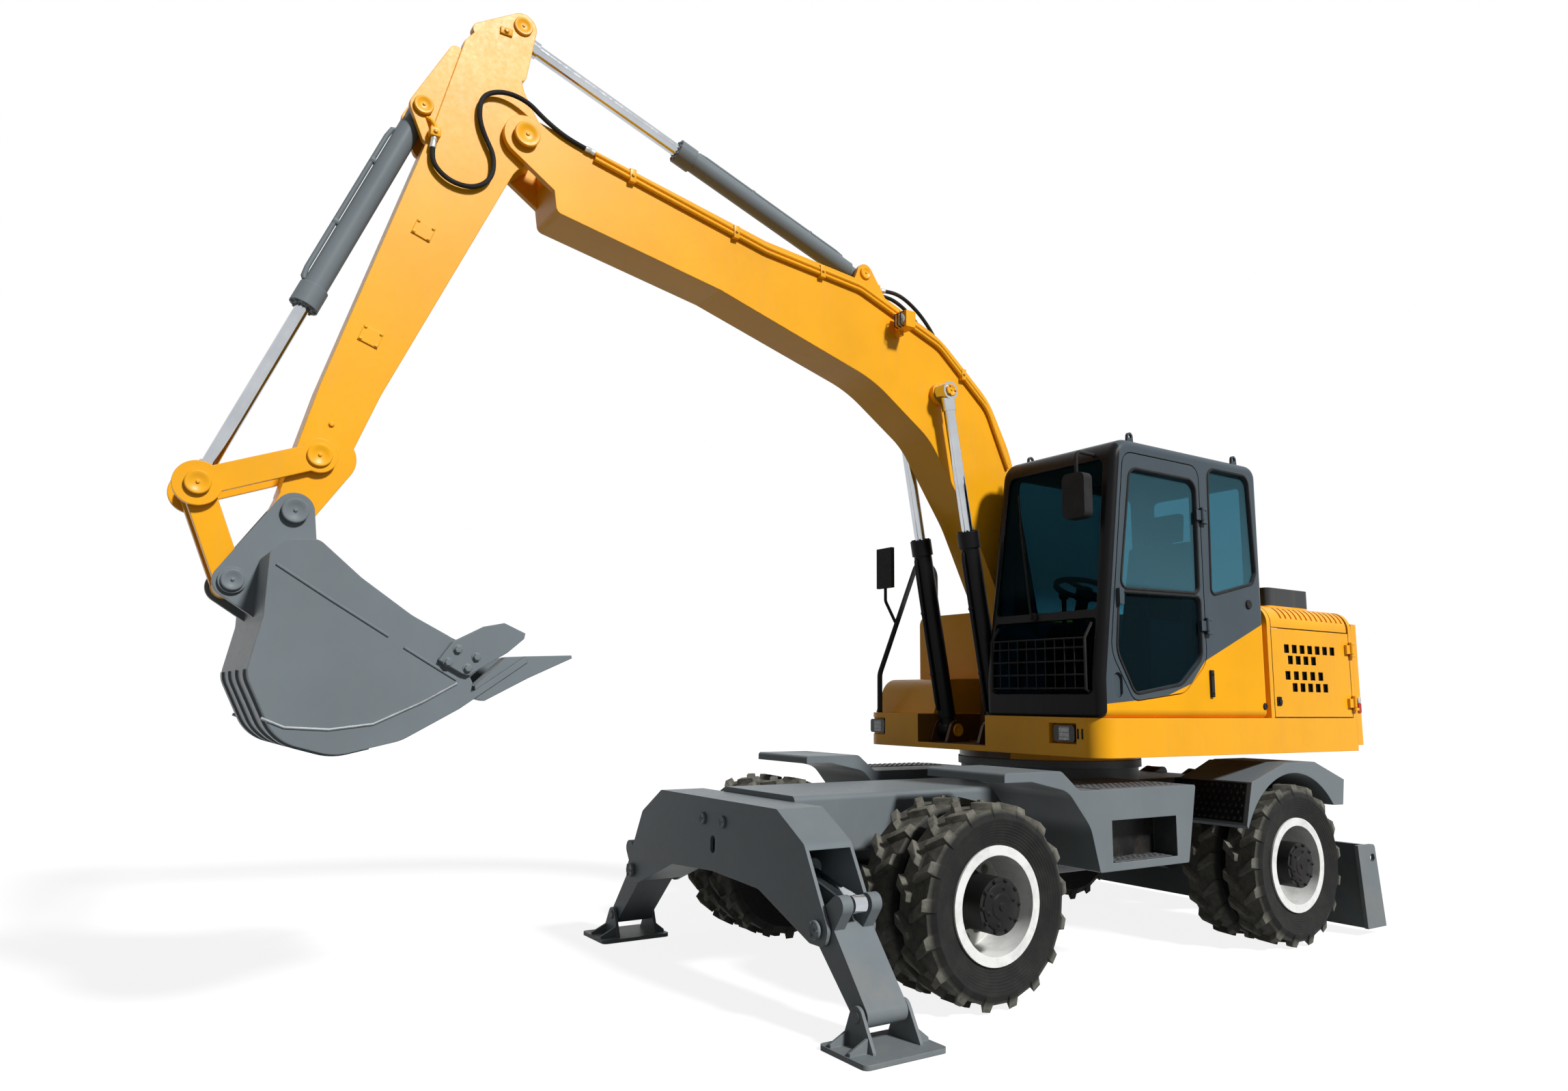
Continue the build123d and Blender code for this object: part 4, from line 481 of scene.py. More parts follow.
# What each node is made of; the nodes that aren't listed are slate
MATERIALS = {
    "cab_frame": charcoal, "cab_door": charcoal, "cab_glass": pane, "cab_door_glass": pane, "cab_interior": cloth,
    "engine_hood": hood_paint, "upper_frame": deck_paint_and_bay_shade, "front_lamps": lamp_lens, "rails_and_mirrors": trim,
    "boom_barrels": black, "fenders": fender_paint_and_step_shade, "side_door_left": door_paint_and_vent_shade, "side_door_right": door_paint_and_vent_shade,
}
for name in ("counterweight", "rear_bodywork", "right_tanks", "boom", "boom_pipes",
             "arm", "rocker_links", "bucket_link"):
    MATERIALS[name] = yellow
for name in ("slewing_ring", "engine_block", "drive_line", "front_axle", "rear_axle",
             "knuckle_left", "knuckle_right", "tie_rod"):
    MATERIALS[name] = cast
for name in ("outrigger_rod_left", "outrigger_rod_right", "blade_rods", "boom_rods", "arm_rod", "bucket_rod"):
    MATERIALS[name] = rod_chrome
for side in ("left", "right"):
    MATERIALS[f"tyres_front_{side}"] = tyre_rubber
    MATERIALS[f"tyres_rear_{side}"] = tyre_rubber
    MATERIALS[f"rims_front_{side}"] = rim_front
    MATERIALS[f"rims_rear_{side}"] = rim_rear

for name, piece in nodes.items():
    piece.data.materials.clear()
    piece.data.materials.append(MATERIALS.get(name, slate))
    piece.data.shade_smooth()
    piece.data.set_sharp_from_angle(angle=math.radians(32))


# Mesh helpers for the small pieces

class Piece:
    """One small piece, gathered as a mesh in the row frame. Places are millimetres about the slewing axis."""

    def __init__(self):
        self.mesh = bmesh.new()

    def turned(self, profile, origin, axis, sides=24):
        """Body of revolution: (radius, height) pairs about an axis, in millimetres."""
        turn = Vector(axis).to_track_quat("Z", "Y").to_matrix()
        rings = []
        for radius, height in profile:
            if radius == 0:
                tip = Vector(origin) + turn @ Vector((0, 0, height))
                rings.append([self.mesh.verts.new(at(*tip))])
                continue
            ring = []
            for i in range(sides):
                angle = 2 * math.pi * i / sides
                spot = Vector((radius * math.cos(angle), radius * math.sin(angle), height))
                ring.append(self.mesh.verts.new(at(*(Vector(origin) + turn @ spot))))
            rings.append(ring)
        for low, high in zip(rings, rings[1:]):
            for i in range(sides):
                k = (i + 1) % sides
                corners = [low[i % len(low)], low[k % len(low)], high[k % len(high)], high[i % len(high)]]
                unique = list(dict.fromkeys(corners))
                if len(unique) > 2:
                    self.mesh.faces.new(unique)
        return self

    def bolt(self, origin, axis, radius=11, height=9):
        """Hexagon head on a washer."""
        washer = radius * 1.35
        self.turned([(washer, -1), (washer, 2), (radius * 1.2, 2.5), (0, 2.5)], origin, axis, 16)
        head = [(radius, 1), (radius, height - 2), (radius * 0.85, height), (0, height)]
        return self.turned(head, origin, axis, 6)

    def bolt_ring(self, origin, axis, count, ring, radius=9, height=8, start=0.0):
        """Bolts in a circle of radius ring."""
        turn = Vector(axis).to_track_quat("Z", "Y").to_matrix()
        for i in range(count):
            angle = start + 2 * math.pi * i / count
            spot = Vector(origin) + turn @ Vector((ring * math.cos(angle), ring * math.sin(angle), 0))
            self.bolt(spot, axis, radius, height)
        return self

    def cap(self, origin, axis, radius, thick=14, bolts=0):
        """Pin cover with a rolled edge and a dished middle."""
        dish = radius * 0.55
        profile = [(radius, -2), (radius, thick - 4), (radius - 4, thick), (dish + 5, thick), (dish, thick - 3),
                   (radius * 0.16, thick - 3), (radius * 0.12, thick + 2), (0, thick + 2)]
        self.turned(profile, origin, axis, 32)
        if bolts:
            self.bolt_ring(Vector(origin) + Vector(axis) * (thick - 1), axis, bolts, radius * 0.76, 7, 7)
        return self

    def slab(self, x, y, z, chamfer=2.0):
        """Box between the two values of each pair, with its edges rounded off."""
        made = bmesh.ops.create_cube(self.mesh, size=1)["verts"]
        low = at(x[0], y[0], z[0])
        high = at(x[1], y[1], z[1])
        for v in made:
            v.co = Vector([low[k] + (v.co[k] + 0.5) * (high[k] - low[k]) for k in range(3)])
        edges = list(dict.fromkeys(edge for v in made for edge in v.link_edges))
        bmesh.ops.bevel(self.mesh, geom=edges, offset=chamfer / 1000, segments=2, profile=0.6, affect="EDGES")
        return self

    def bar(self, points, radius, sides=10):
        """Round bar through points, closed at both ends."""
        line = [Vector(p) for p in points]
        rings = []
        side = None
        for i, here in enumerate(line):
            ahead = (line[min(i + 1, len(line) - 1)] - line[max(i - 1, 0)]).normalized()
            if side is None:
                side = ahead.orthogonal().normalized()
            side = (side - ahead * side.dot(ahead)).normalized()
            up = ahead.cross(side)
            ring = []
            for k in range(sides):
                angle = 2 * math.pi * k / sides
                spot = here + side * radius * math.cos(angle) + up * radius * math.sin(angle)
                ring.append(self.mesh.verts.new(at(*spot)))
            rings.append(ring)
        for low, high in zip(rings, rings[1:]):
            for i in range(sides):
                k = (i + 1) % sides
                self.mesh.faces.new((low[i], low[k], high[k], high[i]))
        self.mesh.faces.new(rings[0][::-1])
        self.mesh.faces.new(rings[-1])
        return self

    def seal(self, corners, y, width, thick):
        """Flat rubber band round a window drawn by (x, z, corner radius), standing off the plane y."""
        inner = rounded(corners, 6)
        middle = Vector((sum(p[0] for p in inner) / len(inner), sum(p[1] for p in inner) / len(inner)))
        loops = []
        for grow, lift in ((0, 0), (0.15, thick), (0.85, thick), (1, 0)):
            loop = []
            for i, (x, z) in enumerate(inner):
                before = Vector(inner[i - 1])
                after = Vector(inner[(i + 1) % len(inner)])
                along = after - before
                out = Vector((along[1], -along[0])).normalized()
                if out.dot(Vector((x, z)) - middle) < 0:
                    out = -out
                spot = Vector((x, z)) + out * width * grow
                loop.append(self.mesh.verts.new(at(spot[0], y + lift, spot[1])))
            loops.append(loop)
        for low, high in zip(loops, loops[1:]):
            for i in range(len(inner)):
                k = (i + 1) % len(inner)
                self.mesh.faces.new((low[i], low[k], high[k], high[i]))
        return self

    def done(self, name, body, material, slot):
        """Make the object. body is a body's name, which the object is attached to, or a tuple (body, body, start,
        end), for which the object stays in place and is attached to neither.
        """
        bmesh.ops.recalc_face_normals(self.mesh, faces=self.mesh.faces)
        data = bpy.data.meshes.new(name)
        self.mesh.to_mesh(data)
        self.mesh.free()
        data.materials.append(material)
        data.shade_smooth()
        data.set_sharp_from_angle(angle=math.radians(34))
        item = bpy.data.objects.new(name, data)
        bpy.context.scene.collection.objects.link(item)
        if isinstance(body, str):
            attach(item, body)
        else:
            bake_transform(item)
        return item


def rounded(corners, steps):
    """Outline points of (a, b, radius) corners, each rounded by an arc."""
    points = []
    for i, (a, b, radius) in enumerate(corners):
        here = Vector((a, b))
        back = (Vector(corners[i - 1][:2]) - here).normalized()
        on = (Vector(corners[(i + 1) % len(corners)][:2]) - here).normalized()
        half = back.angle(on) / 2
        reach = radius / math.tan(half)
        centre = here + (back + on).normalized() * radius / math.sin(half)
        start = here + back * reach - centre
        end = here + on * reach - centre
        for k in range(steps + 1):
            spoke = start.lerp(end, k / steps).normalized() * radius
            points.append(tuple(centre + spoke))
    return points


LEFT = (0, 1, 0)
RIGHT = (0, -1, 0)
AHEAD = (1, 0, 0)
UP = (0, 0, 1)
SIDES = ((1, LEFT), (-1, RIGHT))
NAMED_SIDES = ((1, LEFT, "left"), (-1, RIGHT, "right"))


# Pin covers and bolts

def pin_caps():
    """Covers on the ends of the pins, each on the body that holds its pin: (body, pin, half width, radius)."""
    rows = [("boom", ARM_PIN, 172, 70), ("boom", ARM_CYLINDER_BASE, 98, 42),
            ("arm", ARM_CYLINDER_EYE, ARM_HALF, 52), ("arm", BUCKET_CYLINDER_BASE, ARM_HALF, 50),
            ("rocker_links", ROCKER_PIN, 142, 56), ("rocker_links", BUCKET_CYLINDER_EYE, 150, 54),
            ("bucket", LINK_PIN, 196, 48), ("bucket", BUCKET_PIN, 194, 58)]
    for body in ("boom", "arm", "rocker_links", "bucket"):
        piece = Piece()
        for owner, (x, z), half, radius in rows:
            if owner != body:
                continue
            for side, out in SIDES:
                piece.cap((x, BOOM_Y + side * half, z), out, radius)
        finish, slot = (slate, "slate_paint") if body == "bucket" else (yellow, "yellow_paint")
        piece.done(f"pin_caps_{body}", body, finish, slot)
    keepers = Piece()
    keeper_x, keeper_z, thick = 4076, 5117, 10
    for side, out in SIDES:
        face = BOOM_Y + side * ARM_HALF
        y = sorted((face, face + side * thick))
        keepers.slab((keeper_x - 34, keeper_x + 34), y, (keeper_z - 20, keeper_z + 20), 3)
        keepers.bolt((keeper_x, face + side * thick, keeper_z), out, 11, 9)
    keepers.done("pin_keepers_arm", "arm", yellow, "yellow_paint")
    pivots = Piece()
    for side in (1, -1):
        # The outrigger leg's pin and its cylinder's, on the front of the beam
        pivots.cap((2702, side * 1005, 470), AHEAD, 44, 12, 3)
        pivots.cap((2694, side * 110, 873), AHEAD, 34, 9)
    pivots.done("pin_caps_chassis", "chassis", slate, "slate_paint")
    cheeks = Piece()
    for side, out in SIDES:
        x, z = BOOM_FOOT
        cheeks.cap((x, BOOM_Y + side * 202, z), out, 66, 12, 4)
        x, z = BOOM_CYLINDER_BASE
        for offset, way in ((94, LEFT), (-94, RIGHT)):
            cheeks.cap((x, BOOM_Y + side * BOOM_CYLINDER_Y + offset, z), way, 44, 10)
    cheeks.done("pin_caps_upper", "upper", yellow, "yellow_paint")
    eyes = Piece()
    for side, out in SIDES:
        x, z = BOOM_CYLINDER_EYE
        eyes.cap((x, BOOM_Y + side * 284, z), out, 42, 10, 3)
    eyes.done("pin_caps_boom_rods", "boom_rods", yellow, "yellow_paint")


def wheel_fittings():
    """Wheel nuts on the disc, the hub's cover bolts, its filler plug and the tyre's valve."""
    cover = [(118, -1), (118, 5), (112, 9), (66, 9), (60, 14), (22, 14), (18, 20), (0, 20)]
    hub_face, disc_face, valve_ring = 1212, 960, 232
    for end, axle_x in (("front", FRONT_WHEEL_X), ("rear", REAR_WHEEL_X)):
        for side, out, word in NAMED_SIDES:
            piece = Piece()
            face = side * hub_face
            piece.turned(cover, (axle_x, face, AXLE_HEIGHT), out, 40)
            piece.bolt_ring((axle_x, face + side * 4, AXLE_HEIGHT), out, 10, 128, 8, 9)
            piece.bolt_ring((axle_x, face + side * 9, AXLE_HEIGHT), out, 6, 90, 8, 8, 0.3)
            piece.done(f"hub_fittings_{end}_{word}", f"wheel_{end}_{word}", hub_black, "black_paint")
            nuts = Piece()
            nuts.bolt_ring((axle_x, side * disc_face, AXLE_HEIGHT), out, 8, 178, 13, 22, math.pi / 8)
            valve = ((valve_ring, 958), (valve_ring, 985), (valve_ring - 4, 1015))
            nuts.bar([(axle_x + x, side * y, AXLE_HEIGHT) for x, y in valve], 5)
            nuts.done(f"wheel_nuts_{end}_{word}", f"wheel_{end}_{word}", steel_dark, "worn_steel")


def cylinder_fittings():
    """Gland bolts and the oil line along each barrel.
    Rows are (piece, body, base, eye, y, barrel length, bolt ring, side of the line, finish, slot)."""
    boom_pins = ("boom_barrels", BOOM_CYLINDER_BASE, BOOM_CYLINDER_EYE)
    rows = [("oil_line_arm_barrel", "arm_barrel", ARM_CYLINDER_BASE, ARM_CYLINDER_EYE,
             BOOM_Y, 1450, 57, -1, slate, "slate_paint"),
            ("oil_line_bucket_barrel", "bucket_barrel", BUCKET_CYLINDER_BASE, BUCKET_CYLINDER_EYE,
             BOOM_Y, 1250, 54, -1, slate, "slate_paint"),
            ("oil_line_boom_barrels", *boom_pins, BOOM_Y - BOOM_CYLINDER_Y, 1340, 56, 1, black, "black_paint"),
            ("oil_line_boom_barrels_left", *boom_pins, BOOM_Y + BOOM_CYLINDER_Y, 1340, 56, 1, black, "black_paint")]
    for name, body, base, eye, y, length, ring, sign, finish, slot in rows:
        start = Vector((base[0], y, base[1]))
        along = Vector((eye[0] - base[0], 0, eye[1] - base[1])).normalized()
        across = Vector((along[2], 0, -along[0])) * sign
        lift = ring + 14
        piece = Piece()
        piece.bolt_ring(start + along * length, along, 8, ring, 8, 9)
        run = ((150, ring - 6), (160, lift), (210, lift + 6),
               (length - 190, lift + 6), (length - 140, lift), (length - 128, ring + 2))
        piece.bar([start + along * far + across * high for far, high in run], 13, 12)
        for share in (0.3, 0.62):
            hold = start + along * (length * share)
            piece.bar([hold + across * (ring - 2), hold + across * (lift + 14)], 17, 8)
        piece.done(name, body, finish, slot)


# Hoses

HOSE_DIAMETER = 26
BACK_HOSE_Y = 34


def hose(name, points, diameter, body):
    """Rubber hose along a smooth line through given points, with a crimped ferrule on each end."""
    curve = bpy.data.curves.new(name + "_line", "CURVE")
    curve.dimensions = "3D"
    spline = curve.splines.new("NURBS")
    spline.points.add(len(points) - 1)
    for point, spot in zip(spline.points, points):
        point.co = (*at(*spot), 1)
    spline.order_u = 3
    spline.use_endpoint_u = True
    curve.resolution_u = 12
    holder = bpy.data.objects.new(name + "_line", curve)
    bpy.context.scene.collection.objects.link(holder)
    line = [v.co.copy() for v in bpy.data.meshes.new_from_object(holder).vertices]
    bpy.data.objects.remove(holder)
    route = [((p[0] - SLEW_X) * 1000, p[1] * 1000, p[2] * 1000) for p in line]
    radius = diameter / 2
    item = Piece().bar(route, radius, 14).done(name, body, hose_rubber, "black_plastic")
    ferrule = ((0, -14), (0.8, -14), (0.8, 0), (1.25, 2), (1.25, 20), (1.12, 24), (1.3, 28), (1.3, 56), (1.02, 60))
    ends = Piece()
    for first, second in ((route[0], route[3]), (route[-1], route[-4])):
        way = (Vector(second) - Vector(first)).normalized()
        ends.turned([(radius * share, height) for share, height in ferrule], first, way, 16)
    fitting = ends.done(name + "_ferrules", body, zinc, "worn_steel")


def hoses():
    """One hose from the boom's pipe across the arm's joint, and two on the boom's back to the feed block."""
    across = [(3560, 44, 4545), (3650, 44, 4565), (3750, 44, 4594), (3860, 46, 4650), (3960, 40, 4728),
              (4090, 24, 4748), (4196, 14, 4690), (4204, 14, 4560), (4164, 14, 4460), (4110, 14, 4370),
              (4116, 14, 4240), (4205, 14, 4160), (4330, 14, 4160), (4420, 14, 4225), (4432, 14, 4310),
              (4424, 14, 4376)]
    hose("arm_hose", across, HOSE_DIAMETER, ("boom", "arm", at(3960, 30, 4728), at(4180, 14, 4420)))
    for index, y in enumerate((BOOM_Y + BACK_HOSE_Y, BOOM_Y - BACK_HOSE_Y)):
        drop = 10 * index
        run = [(900, y, 3925), (918, y, 4024), (985, y, 4116 - drop), (1090, y, 4212 - drop),
               (1225, y, 4286 - drop), (1340, y, 4300 - drop), (1442, y, 4282)]
        hose(f"boom_back_hose_{index + 1}", run, HOSE_DIAMETER, "boom")


# Boom and arm

def boom_fittings():
    """Pipe clamps, the block that feeds the arm cylinder's hoses, and the work lamp's lens and guard."""
    clamps = Piece()
    face = BOOM_Y + 150
    for x, z in ((3330, 4478), (2640, 4324), (2000, 4232), (1350, 4075), (800, 3776)):
        clamps.slab((x - 20, x + 20), (face - 2, face + 32), (z - 40, z + 40), 4)
        clamps.bolt((x, face + 32, z), LEFT, 8, 8)
    clamps.slab((1440, 1500), (BOOM_Y - 62, BOOM_Y + 62), (4160, 4312), 6)
    for y in (BOOM_Y - BACK_HOSE_Y, BOOM_Y + BACK_HOSE_Y):
        clamps.bolt((1470, y, 4312), UP, 9, 9)
        clamps.turned([(26, -1), (26, 10), (20, 14), (0, 14)], (902, y, 3938), (-0.63, 0, 0.77), 18)
    clamps.done("pipe_clamps", "boom", yellow, "yellow_paint")
    lamp_y = BOOM_Y + 245
    front = Piece()
    front.turned([(44, -2), (44, 6), (38, 12), (20, 16), (0, 17)], (1420, lamp_y, 4015), AHEAD, 24)
    front.done("boom_lamp_lens", "boom", clear_lens, "lamp_plastic")
    guard = Piece()
    for y in (lamp_y - 30, lamp_y, lamp_y + 30):
        guard.bar([(1418, y, 3964), (1446, y, 3975), (1446, y, 4055), (1418, y, 4066)], 4, 8)
    guard.done("boom_lamp_guard", "boom", trim, "black_plastic")


def arm_fittings():
    """Two bolted cover plates and a drain plug on each side of the arm, and the block where its hose ends."""
    piece = Piece()
    along = Vector((0.33, 0, -0.944))
    across = Vector((0.944, 0, 0.33))
    turns = ((-1, -1), (-1, 1), (1, 1), (1, -1))
    for side, out in SIDES:
        face = BOOM_Y + side * ARM_HALF
        for x, z in ((4442, 3873), (4657, 3267)):
            middle = Vector((x, face, z))
            corners = [middle + along * a * 42 + across * b * 50 for a, b in turns]
            tilted_plate(piece, corners, Vector(out) * 7)
            for corner in corners:
                piece.bolt(corner.lerp(middle, 0.22) + Vector(out) * 6, out, 6, 6)
        piece.bolt((4803, face, 2804), out, 11, 10)
    face = BOOM_Y + ARM_HALF
    piece.slab((4396, 4450), (face - 2, face + 46), (4376, 4424), 4)
    piece.bolt((4423, face + 46, 4400), LEFT, 9, 8)
    pipe = ((4420, 22, 4420), (4424, 20, 4446), (4440, 8, 4472), (4462, -14, 4494))
    piece.bar([(x, face + rise, z) for x, rise, z in pipe], 10, 10)
    piece.done("arm_plates", "arm", yellow, "yellow_paint")


def tilted_plate(piece, corners, rise):
    """Thin plate through four corners, with a bevelled rim."""
    middle = sum(corners, Vector()) / 4
    low = [piece.mesh.verts.new(at(*c)) for c in corners]
    rim = [piece.mesh.verts.new(at(*(c + rise * 0.7))) for c in corners]
    top = [piece.mesh.verts.new(at(*(c.lerp(middle, 0.04) + rise))) for c in corners]
    for a, b in ((low, rim), (rim, top)):
        for i in range(4):
            k = (i + 1) % 4
            piece.mesh.faces.new((a[i], a[k], b[k], b[i]))
    piece.mesh.faces.new(top)


# Bucket

def bucket_fittings():
    """Side cutter bolts, painted seams and the bright lower weld on both side plates."""
    straight = (((5040, 2080), (4820, 1945), (4569, 1796)), ((4500, 1750), (4380, 1680), (4262, 1612)),
                ((4345, 1700), (4292, 1778)), ((4245, 1643), (4345, 1700)))
    curved = ((5050, 1440), (4960, 1402), (4787, 1392), (4608, 1415), (4402, 1512), (4258, 1596))
    cutter_half, plate_half, bead = 524, 500, 7
    bolts = Piece()
    welds = Piece()
    seams = Piece()
    for side, out in SIDES:
        for x, z in ((4269, 1748), (4182, 1716), (4310, 1689), (4220, 1664)):
            bolts.bolt((x, BOOM_Y + side * cutter_half, z), out, 17, 16)
        face = BOOM_Y + side * plate_half
        for run in straight:
            seams.bar([(x, face, z) for x, z in run], bead, 8)
        welds.bar([(x, face, z) for x, z in curved], bead, 8)
    bolts.done("cutter_bolts", "bucket", slate, "slate_paint")
    seams.done("bucket_seams", "bucket", slate, "slate_paint")
    welds.done("bucket_welds", "bucket", weld_steel, "worn_steel")


# Cab, bodywork and steps

# Windows on the left side, as (x, z, corner radius)
UPPER_WINDOW = [(-163, 2244, 40), (581, 2229, 40), (462, 2960, 70), (-173, 2960, 70)]
LOWER_WINDOW = [(-163, 1830, 110), (46, 1668, 110), (486, 1604, 60),
                (634, 1845, 150), (597, 2192, 30), (-169, 2208, 30)]
REAR_WINDOW = [(-303, 2240, 30), (-326, 3060, 60), (-751, 3060, 60), (-785, 2415, 30), (-745, 2343, 30)]
SEAL_WIDTH = 17
SEAL_RISE = 7


def screen_x(z):
    """Front of the cab at a height, on its leaning face."""
    return FRONT_X - FRONT_LEAN * max(z - FRONT_KNEE, 0)


def cab_fittings():
    """Window rubbers, wiper, the guard over the lower pane, the mirror's pane and fittings on the cab's side."""
    door = Piece()
    for corners in (UPPER_WINDOW, LOWER_WINDOW):
        door.seal(corners, SIDE_Y - 1, SEAL_WIDTH, SEAL_RISE)
    door.done("door_window_seals", "cab_door", trim, "black_plastic")
    rubber_bands = Piece()
    rubber_bands.seal(REAR_WINDOW, SIDE_Y - 1, SEAL_WIDTH, SEAL_RISE)
    rubber_bands.done("rear_window_seal", "upper", trim, "black_plastic")
    wiper = Piece()
    boss = [(30, -4), (30, 12), (24, 18), (12, 20), (12, 34), (0, 36)]
    wiper.turned(boss, (screen_x(2066) - 2, 590, 2066), AHEAD, 20)
    wiper_arm = ((26, 590, 2066), (30, 572, 2150), (16, 424, 2700))
    blade = ((2, 478, 2480), (6, 420, 2700), (2, 376, 2890))
    for run, radius in ((wiper_arm, 7), (blade, 6)):
        wiper.bar([(screen_x(z) + off, y, z) for off, y, z in run], radius)
    wiper.done("wiper", "upper", trim, "black_plastic")
    guard = Piece()
    face = screen_x(1600) + 20
    right_end, left_end = 292, 1048
    foot, head = 1606, 2010
    gaps = 10
    for y in (right_end, left_end):
        guard.bar([(face - 26, y, foot), (face, y, foot + 10), (face, y, head - 90),
                   (screen_x(head) + 2, y, head)], 9)
    for z in (1625, 1705, 1785, 1865, 1920):
        guard.bar([(face, right_end, z), (face, left_end, z)], 5, 8)
    for k in range(1, gaps):
        y = right_end + (left_end - right_end) * k / gaps
        guard.bar([(face + 5, y, 1616), (face + 5, y, 1922)], 3.5, 6)
    guard.done("lower_pane_guard", "upper", trim, "black_plastic")
    side = Piece()
    side.slab((-268, -236), (SIDE_Y - 2, SIDE_Y + 16), (1584, 1754), 5)
    for z in (1610, 1728):
        side.bolt((-252, SIDE_Y + 16, z), LEFT, 7, 6)
    side.turned([(30, -2), (30, 8), (25, 12), (0, 12)], (-694, SIDE_Y, 2196), LEFT, 24)
    side.turned([(22, -2), (22, 6), (18, 9), (9, 9), (8, 6), (0, 6)], (-821, SIDE_Y, 1531), LEFT, 24)
    for y in (968, 1000):
        side.slab((797, 804), (y - 6, y + 6), (1330, 1390), 2)
    side.done("cab_side_fittings", "upper", trim, "black_plastic")
    panes = Piece()
    panes.slab((711, 717), (908, 1042), (2662, 2898), 2)
    panes.done("mirror_pane", "upper", rod_chrome, "chromed_rod")


def body_fittings():
    """Rear lamps on the counterweight, and the doors' latches."""
    lamps = Piece()
    white = Piece()
    lamp_x = (-2004, -1962)
    for side in (1, -1):
        y = sorted((side * (SIDE_Y - 30), side * (SIDE_Y + 8)))
        lamps.slab(lamp_x, y, (1492, 1560), 4)
        white.slab(lamp_x, y, (1562, 1604), 4)
    lamps.done("rear_lamps_red", "upper", signal_red, "lamp_plastic")
    white.done("rear_lamps_clear", "upper", clear_lens, "lamp_plastic")
    for side, out, word in NAMED_SIDES:
        latch = Piece()
        face = side * SIDE_Y
        y = sorted((face - side * 2, face + side * 8))
        latch.slab((-1012, -962), y, (1536, 1596), 6)
        y = sorted((face + side * 6, face + side * 16))
        latch.slab((-1004, -970), y, (1548, 1576), 4)
        latch.turned([(9, 6), (9, 11), (5, 11), (0, 10)], (-987, face, 1587), out, 14)
        latch.done(f"door_latch_{word}", f"side_door_{word}", trim, "black_plastic")


def step_fittings():
    """Studded tread plates on the side boxes and in their steps, and the studded front of each rear fender."""
    pitch = 48
    treads = (((160, 890), (930, 1185), 1061), ((270, 780), (1060, 1185), 660))
    for side, _, word in NAMED_SIDES:
        plate = Piece()
        for x, y, z in treads:
            low, high = sorted((side * y[0], side * y[1]))
            plate.slab(x, (low, high), (z - 2, z + 4), 1.5)
            for i in range(int((x[1] - x[0]) / pitch)):
                for k in range(int((high - low) / pitch)):
                    spot = (x[0] + 28 + pitch * i, low + 26 + pitch * k, z + 3)
                    plate.turned([(13, 0), (11, 3.5), (7, 5), (0, 5)], spot, UP, 8)
        plate.done(f"tread_plates_{word}", "chassis", stud_plate, "slate_paint")
        front = Piece()
        top = Vector((-531, 0, 1046))
        down = Vector((74, 0, -265)).normalized()
        out = Vector((0.963, 0, 0.269))
        near = top + Vector((0, side * 640, 0))
        far = top + Vector((0, side * 1172, 0))
        tilted_plate(front, [near, far, far + down * 250, near + down * 250], out * 5)
        for i in range(6):
            for k in range(12):
                across = side * (666 + 42 * k + 21 * (i % 2))
                spot = top + down * (24 + 40 * i) + Vector((0, across, 0)) + out * 4
                front.turned([(15, 0), (11, 4), (5, 6), (0, 6)], spot, out, 4)
        front.done(f"fender_front_plate_{word}", "chassis", black, "black_paint")


for make in (pin_caps, wheel_fittings, cylinder_fittings, hoses, boom_fittings, arm_fittings, bucket_fittings,
             cab_fittings, body_fittings, step_fittings):
    make()


# Camera, light and floor

SKY = 0.13
FLOOR_GLOW = 0.87


def camera():
    """The photograph's camera, low down at the machine's front left."""
    data = bpy.data.cameras.new("camera")
    data.sensor_width = 36
    data.lens = 23.93
    data.clip_end = 200
    cam = bpy.data.objects.new("camera", data)
    bpy.context.scene.collection.objects.link(cam)
    eye = (4.047, 5.177, 1.535)
    azimuth = math.radians(146.55)
    lift = math.radians(-8.46)
    back = Vector((math.sin(azimuth) * math.cos(lift), -math.cos(azimuth) * math.cos(lift), math.sin(lift)))
    right = (-back).cross(Vector((0, 0, 1))).normalized()
    up = back.cross(right)
    roll = math.radians(0.63)
    across = right * math.cos(roll) + up * math.sin(roll)
    upward = up * math.cos(roll) - right * math.sin(roll)
    axes = Matrix((across, upward, back)).transposed().to_4x4()
    cam.matrix_world = Matrix.Translation(eye) @ axes
    bpy.context.scene.camera = cam


def key_light():
    """One sun, high on the machine's left, with soft-edged shadows."""
    data = bpy.data.lights.new("key", "SUN")
    data.energy = 3.9
    data.angle = math.radians(7)
    towards = Vector((-0.20, 0.76, 0.62))
    item = bpy.data.objects.new("key", data)
    item.rotation_mode = "QUATERNION"
    item.rotation_quaternion = (-towards).to_track_quat("-Z", "Y")
    item.location = towards.normalized() * 9
    bpy.context.scene.collection.objects.link(item)


def seen_white(tree):
    """1 for what the camera, reflections and glass see, 0 for the light that reaches the object."""
    path = tree.nodes.new("ShaderNodeLightPath")
    seen = path.outputs["Is Camera Ray"]
    for other in ("Is Glossy Ray", "Is Transmission Ray"):
        more = tree.nodes.new("ShaderNodeMath")
        more.operation = "MAXIMUM"
        tree.links.new(seen, more.inputs[0])
        tree.links.new(path.outputs[other], more.inputs[1])
        seen = more.outputs[0]
    return seen


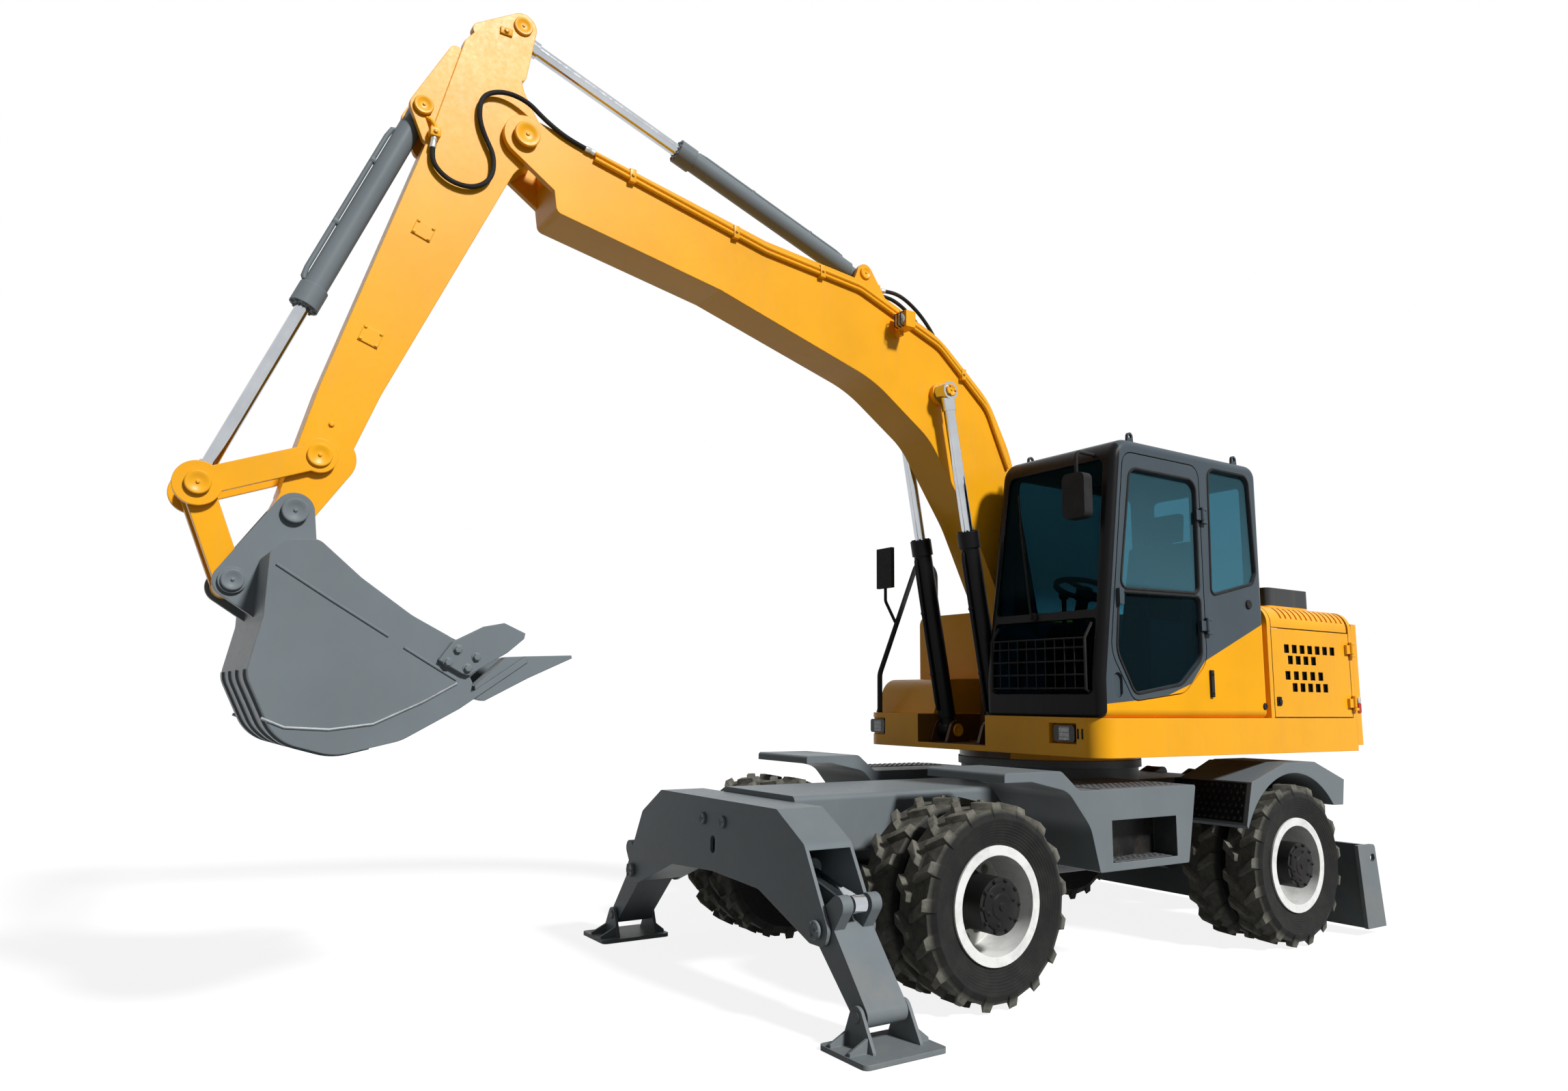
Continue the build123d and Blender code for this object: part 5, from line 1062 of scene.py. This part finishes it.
def world():
    """Soft even sky light, which shows as plain white."""
    item = bpy.data.worlds.new("studio")
    item.use_nodes = True
    tree = item.node_tree
    tree.nodes.clear()
    soft = tree.nodes.new("ShaderNodeBackground")
    soft.inputs["Color"].default_value = (0.95, 0.97, 1.0, 1)
    soft.inputs["Strength"].default_value = SKY
    white = tree.nodes.new("ShaderNodeBackground")
    white.inputs["Color"].default_value = (1, 1, 1, 1)
    white.inputs["Strength"].default_value = 1.0
    mix = tree.nodes.new("ShaderNodeMixShader")
    tree.links.new(seen_white(tree), mix.inputs[0])
    tree.links.new(soft.outputs[0], mix.inputs[1])
    tree.links.new(white.outputs[0], mix.inputs[2])
    out = tree.nodes.new("ShaderNodeOutputWorld")
    tree.links.new(mix.outputs[0], out.inputs[0])
    bpy.context.scene.world = item


def floor():
    """White studio floor that keeps a faint shadow."""
    mesh = bpy.data.meshes.new("floor")
    size = 40
    corners = [(-size, -size, 0), (size, -size, 0), (size, size, 0), (-size, size, 0)]
    mesh.from_pydata(corners, [], [(0, 1, 2, 3)])
    item = bpy.data.objects.new("floor", mesh)
    bpy.context.scene.collection.objects.link(item)
    g = Graph("studio_floor")
    grain = g.noise(g.place(), 3, 4)
    matt = g.add("ShaderNodeBsdfDiffuse", Color=g.mix(grain, (0.22, 0.22, 0.22), (0.25, 0.25, 0.25)))
    pale = g.add("ShaderNodeBsdfDiffuse", Color=g.mix(grain, (0.20, 0.20, 0.20), (0.22, 0.22, 0.22)))
    glow = g.add("ShaderNodeEmission", Color=(1, 1, 1), Strength=FLOOR_GLOW)
    both = g.tree.nodes.new("ShaderNodeAddShader")
    g.tree.links.new(pale.outputs[0], both.inputs[0])
    g.tree.links.new(glow.outputs[0], both.inputs[1])
    mix = g.tree.nodes.new("ShaderNodeMixShader")
    g.tree.links.new(seen_white(g.tree), mix.inputs[0])
    g.tree.links.new(matt.outputs[0], mix.inputs[1])
    g.tree.links.new(both.outputs[0], mix.inputs[2])
    g.tree.links.new(mix.outputs[0], g.end.inputs["Surface"])
    mesh.materials.append(g.mat)


camera()
world()
floor()
key_light()

bpy.context.scene.view_settings.view_transform = "Standard"
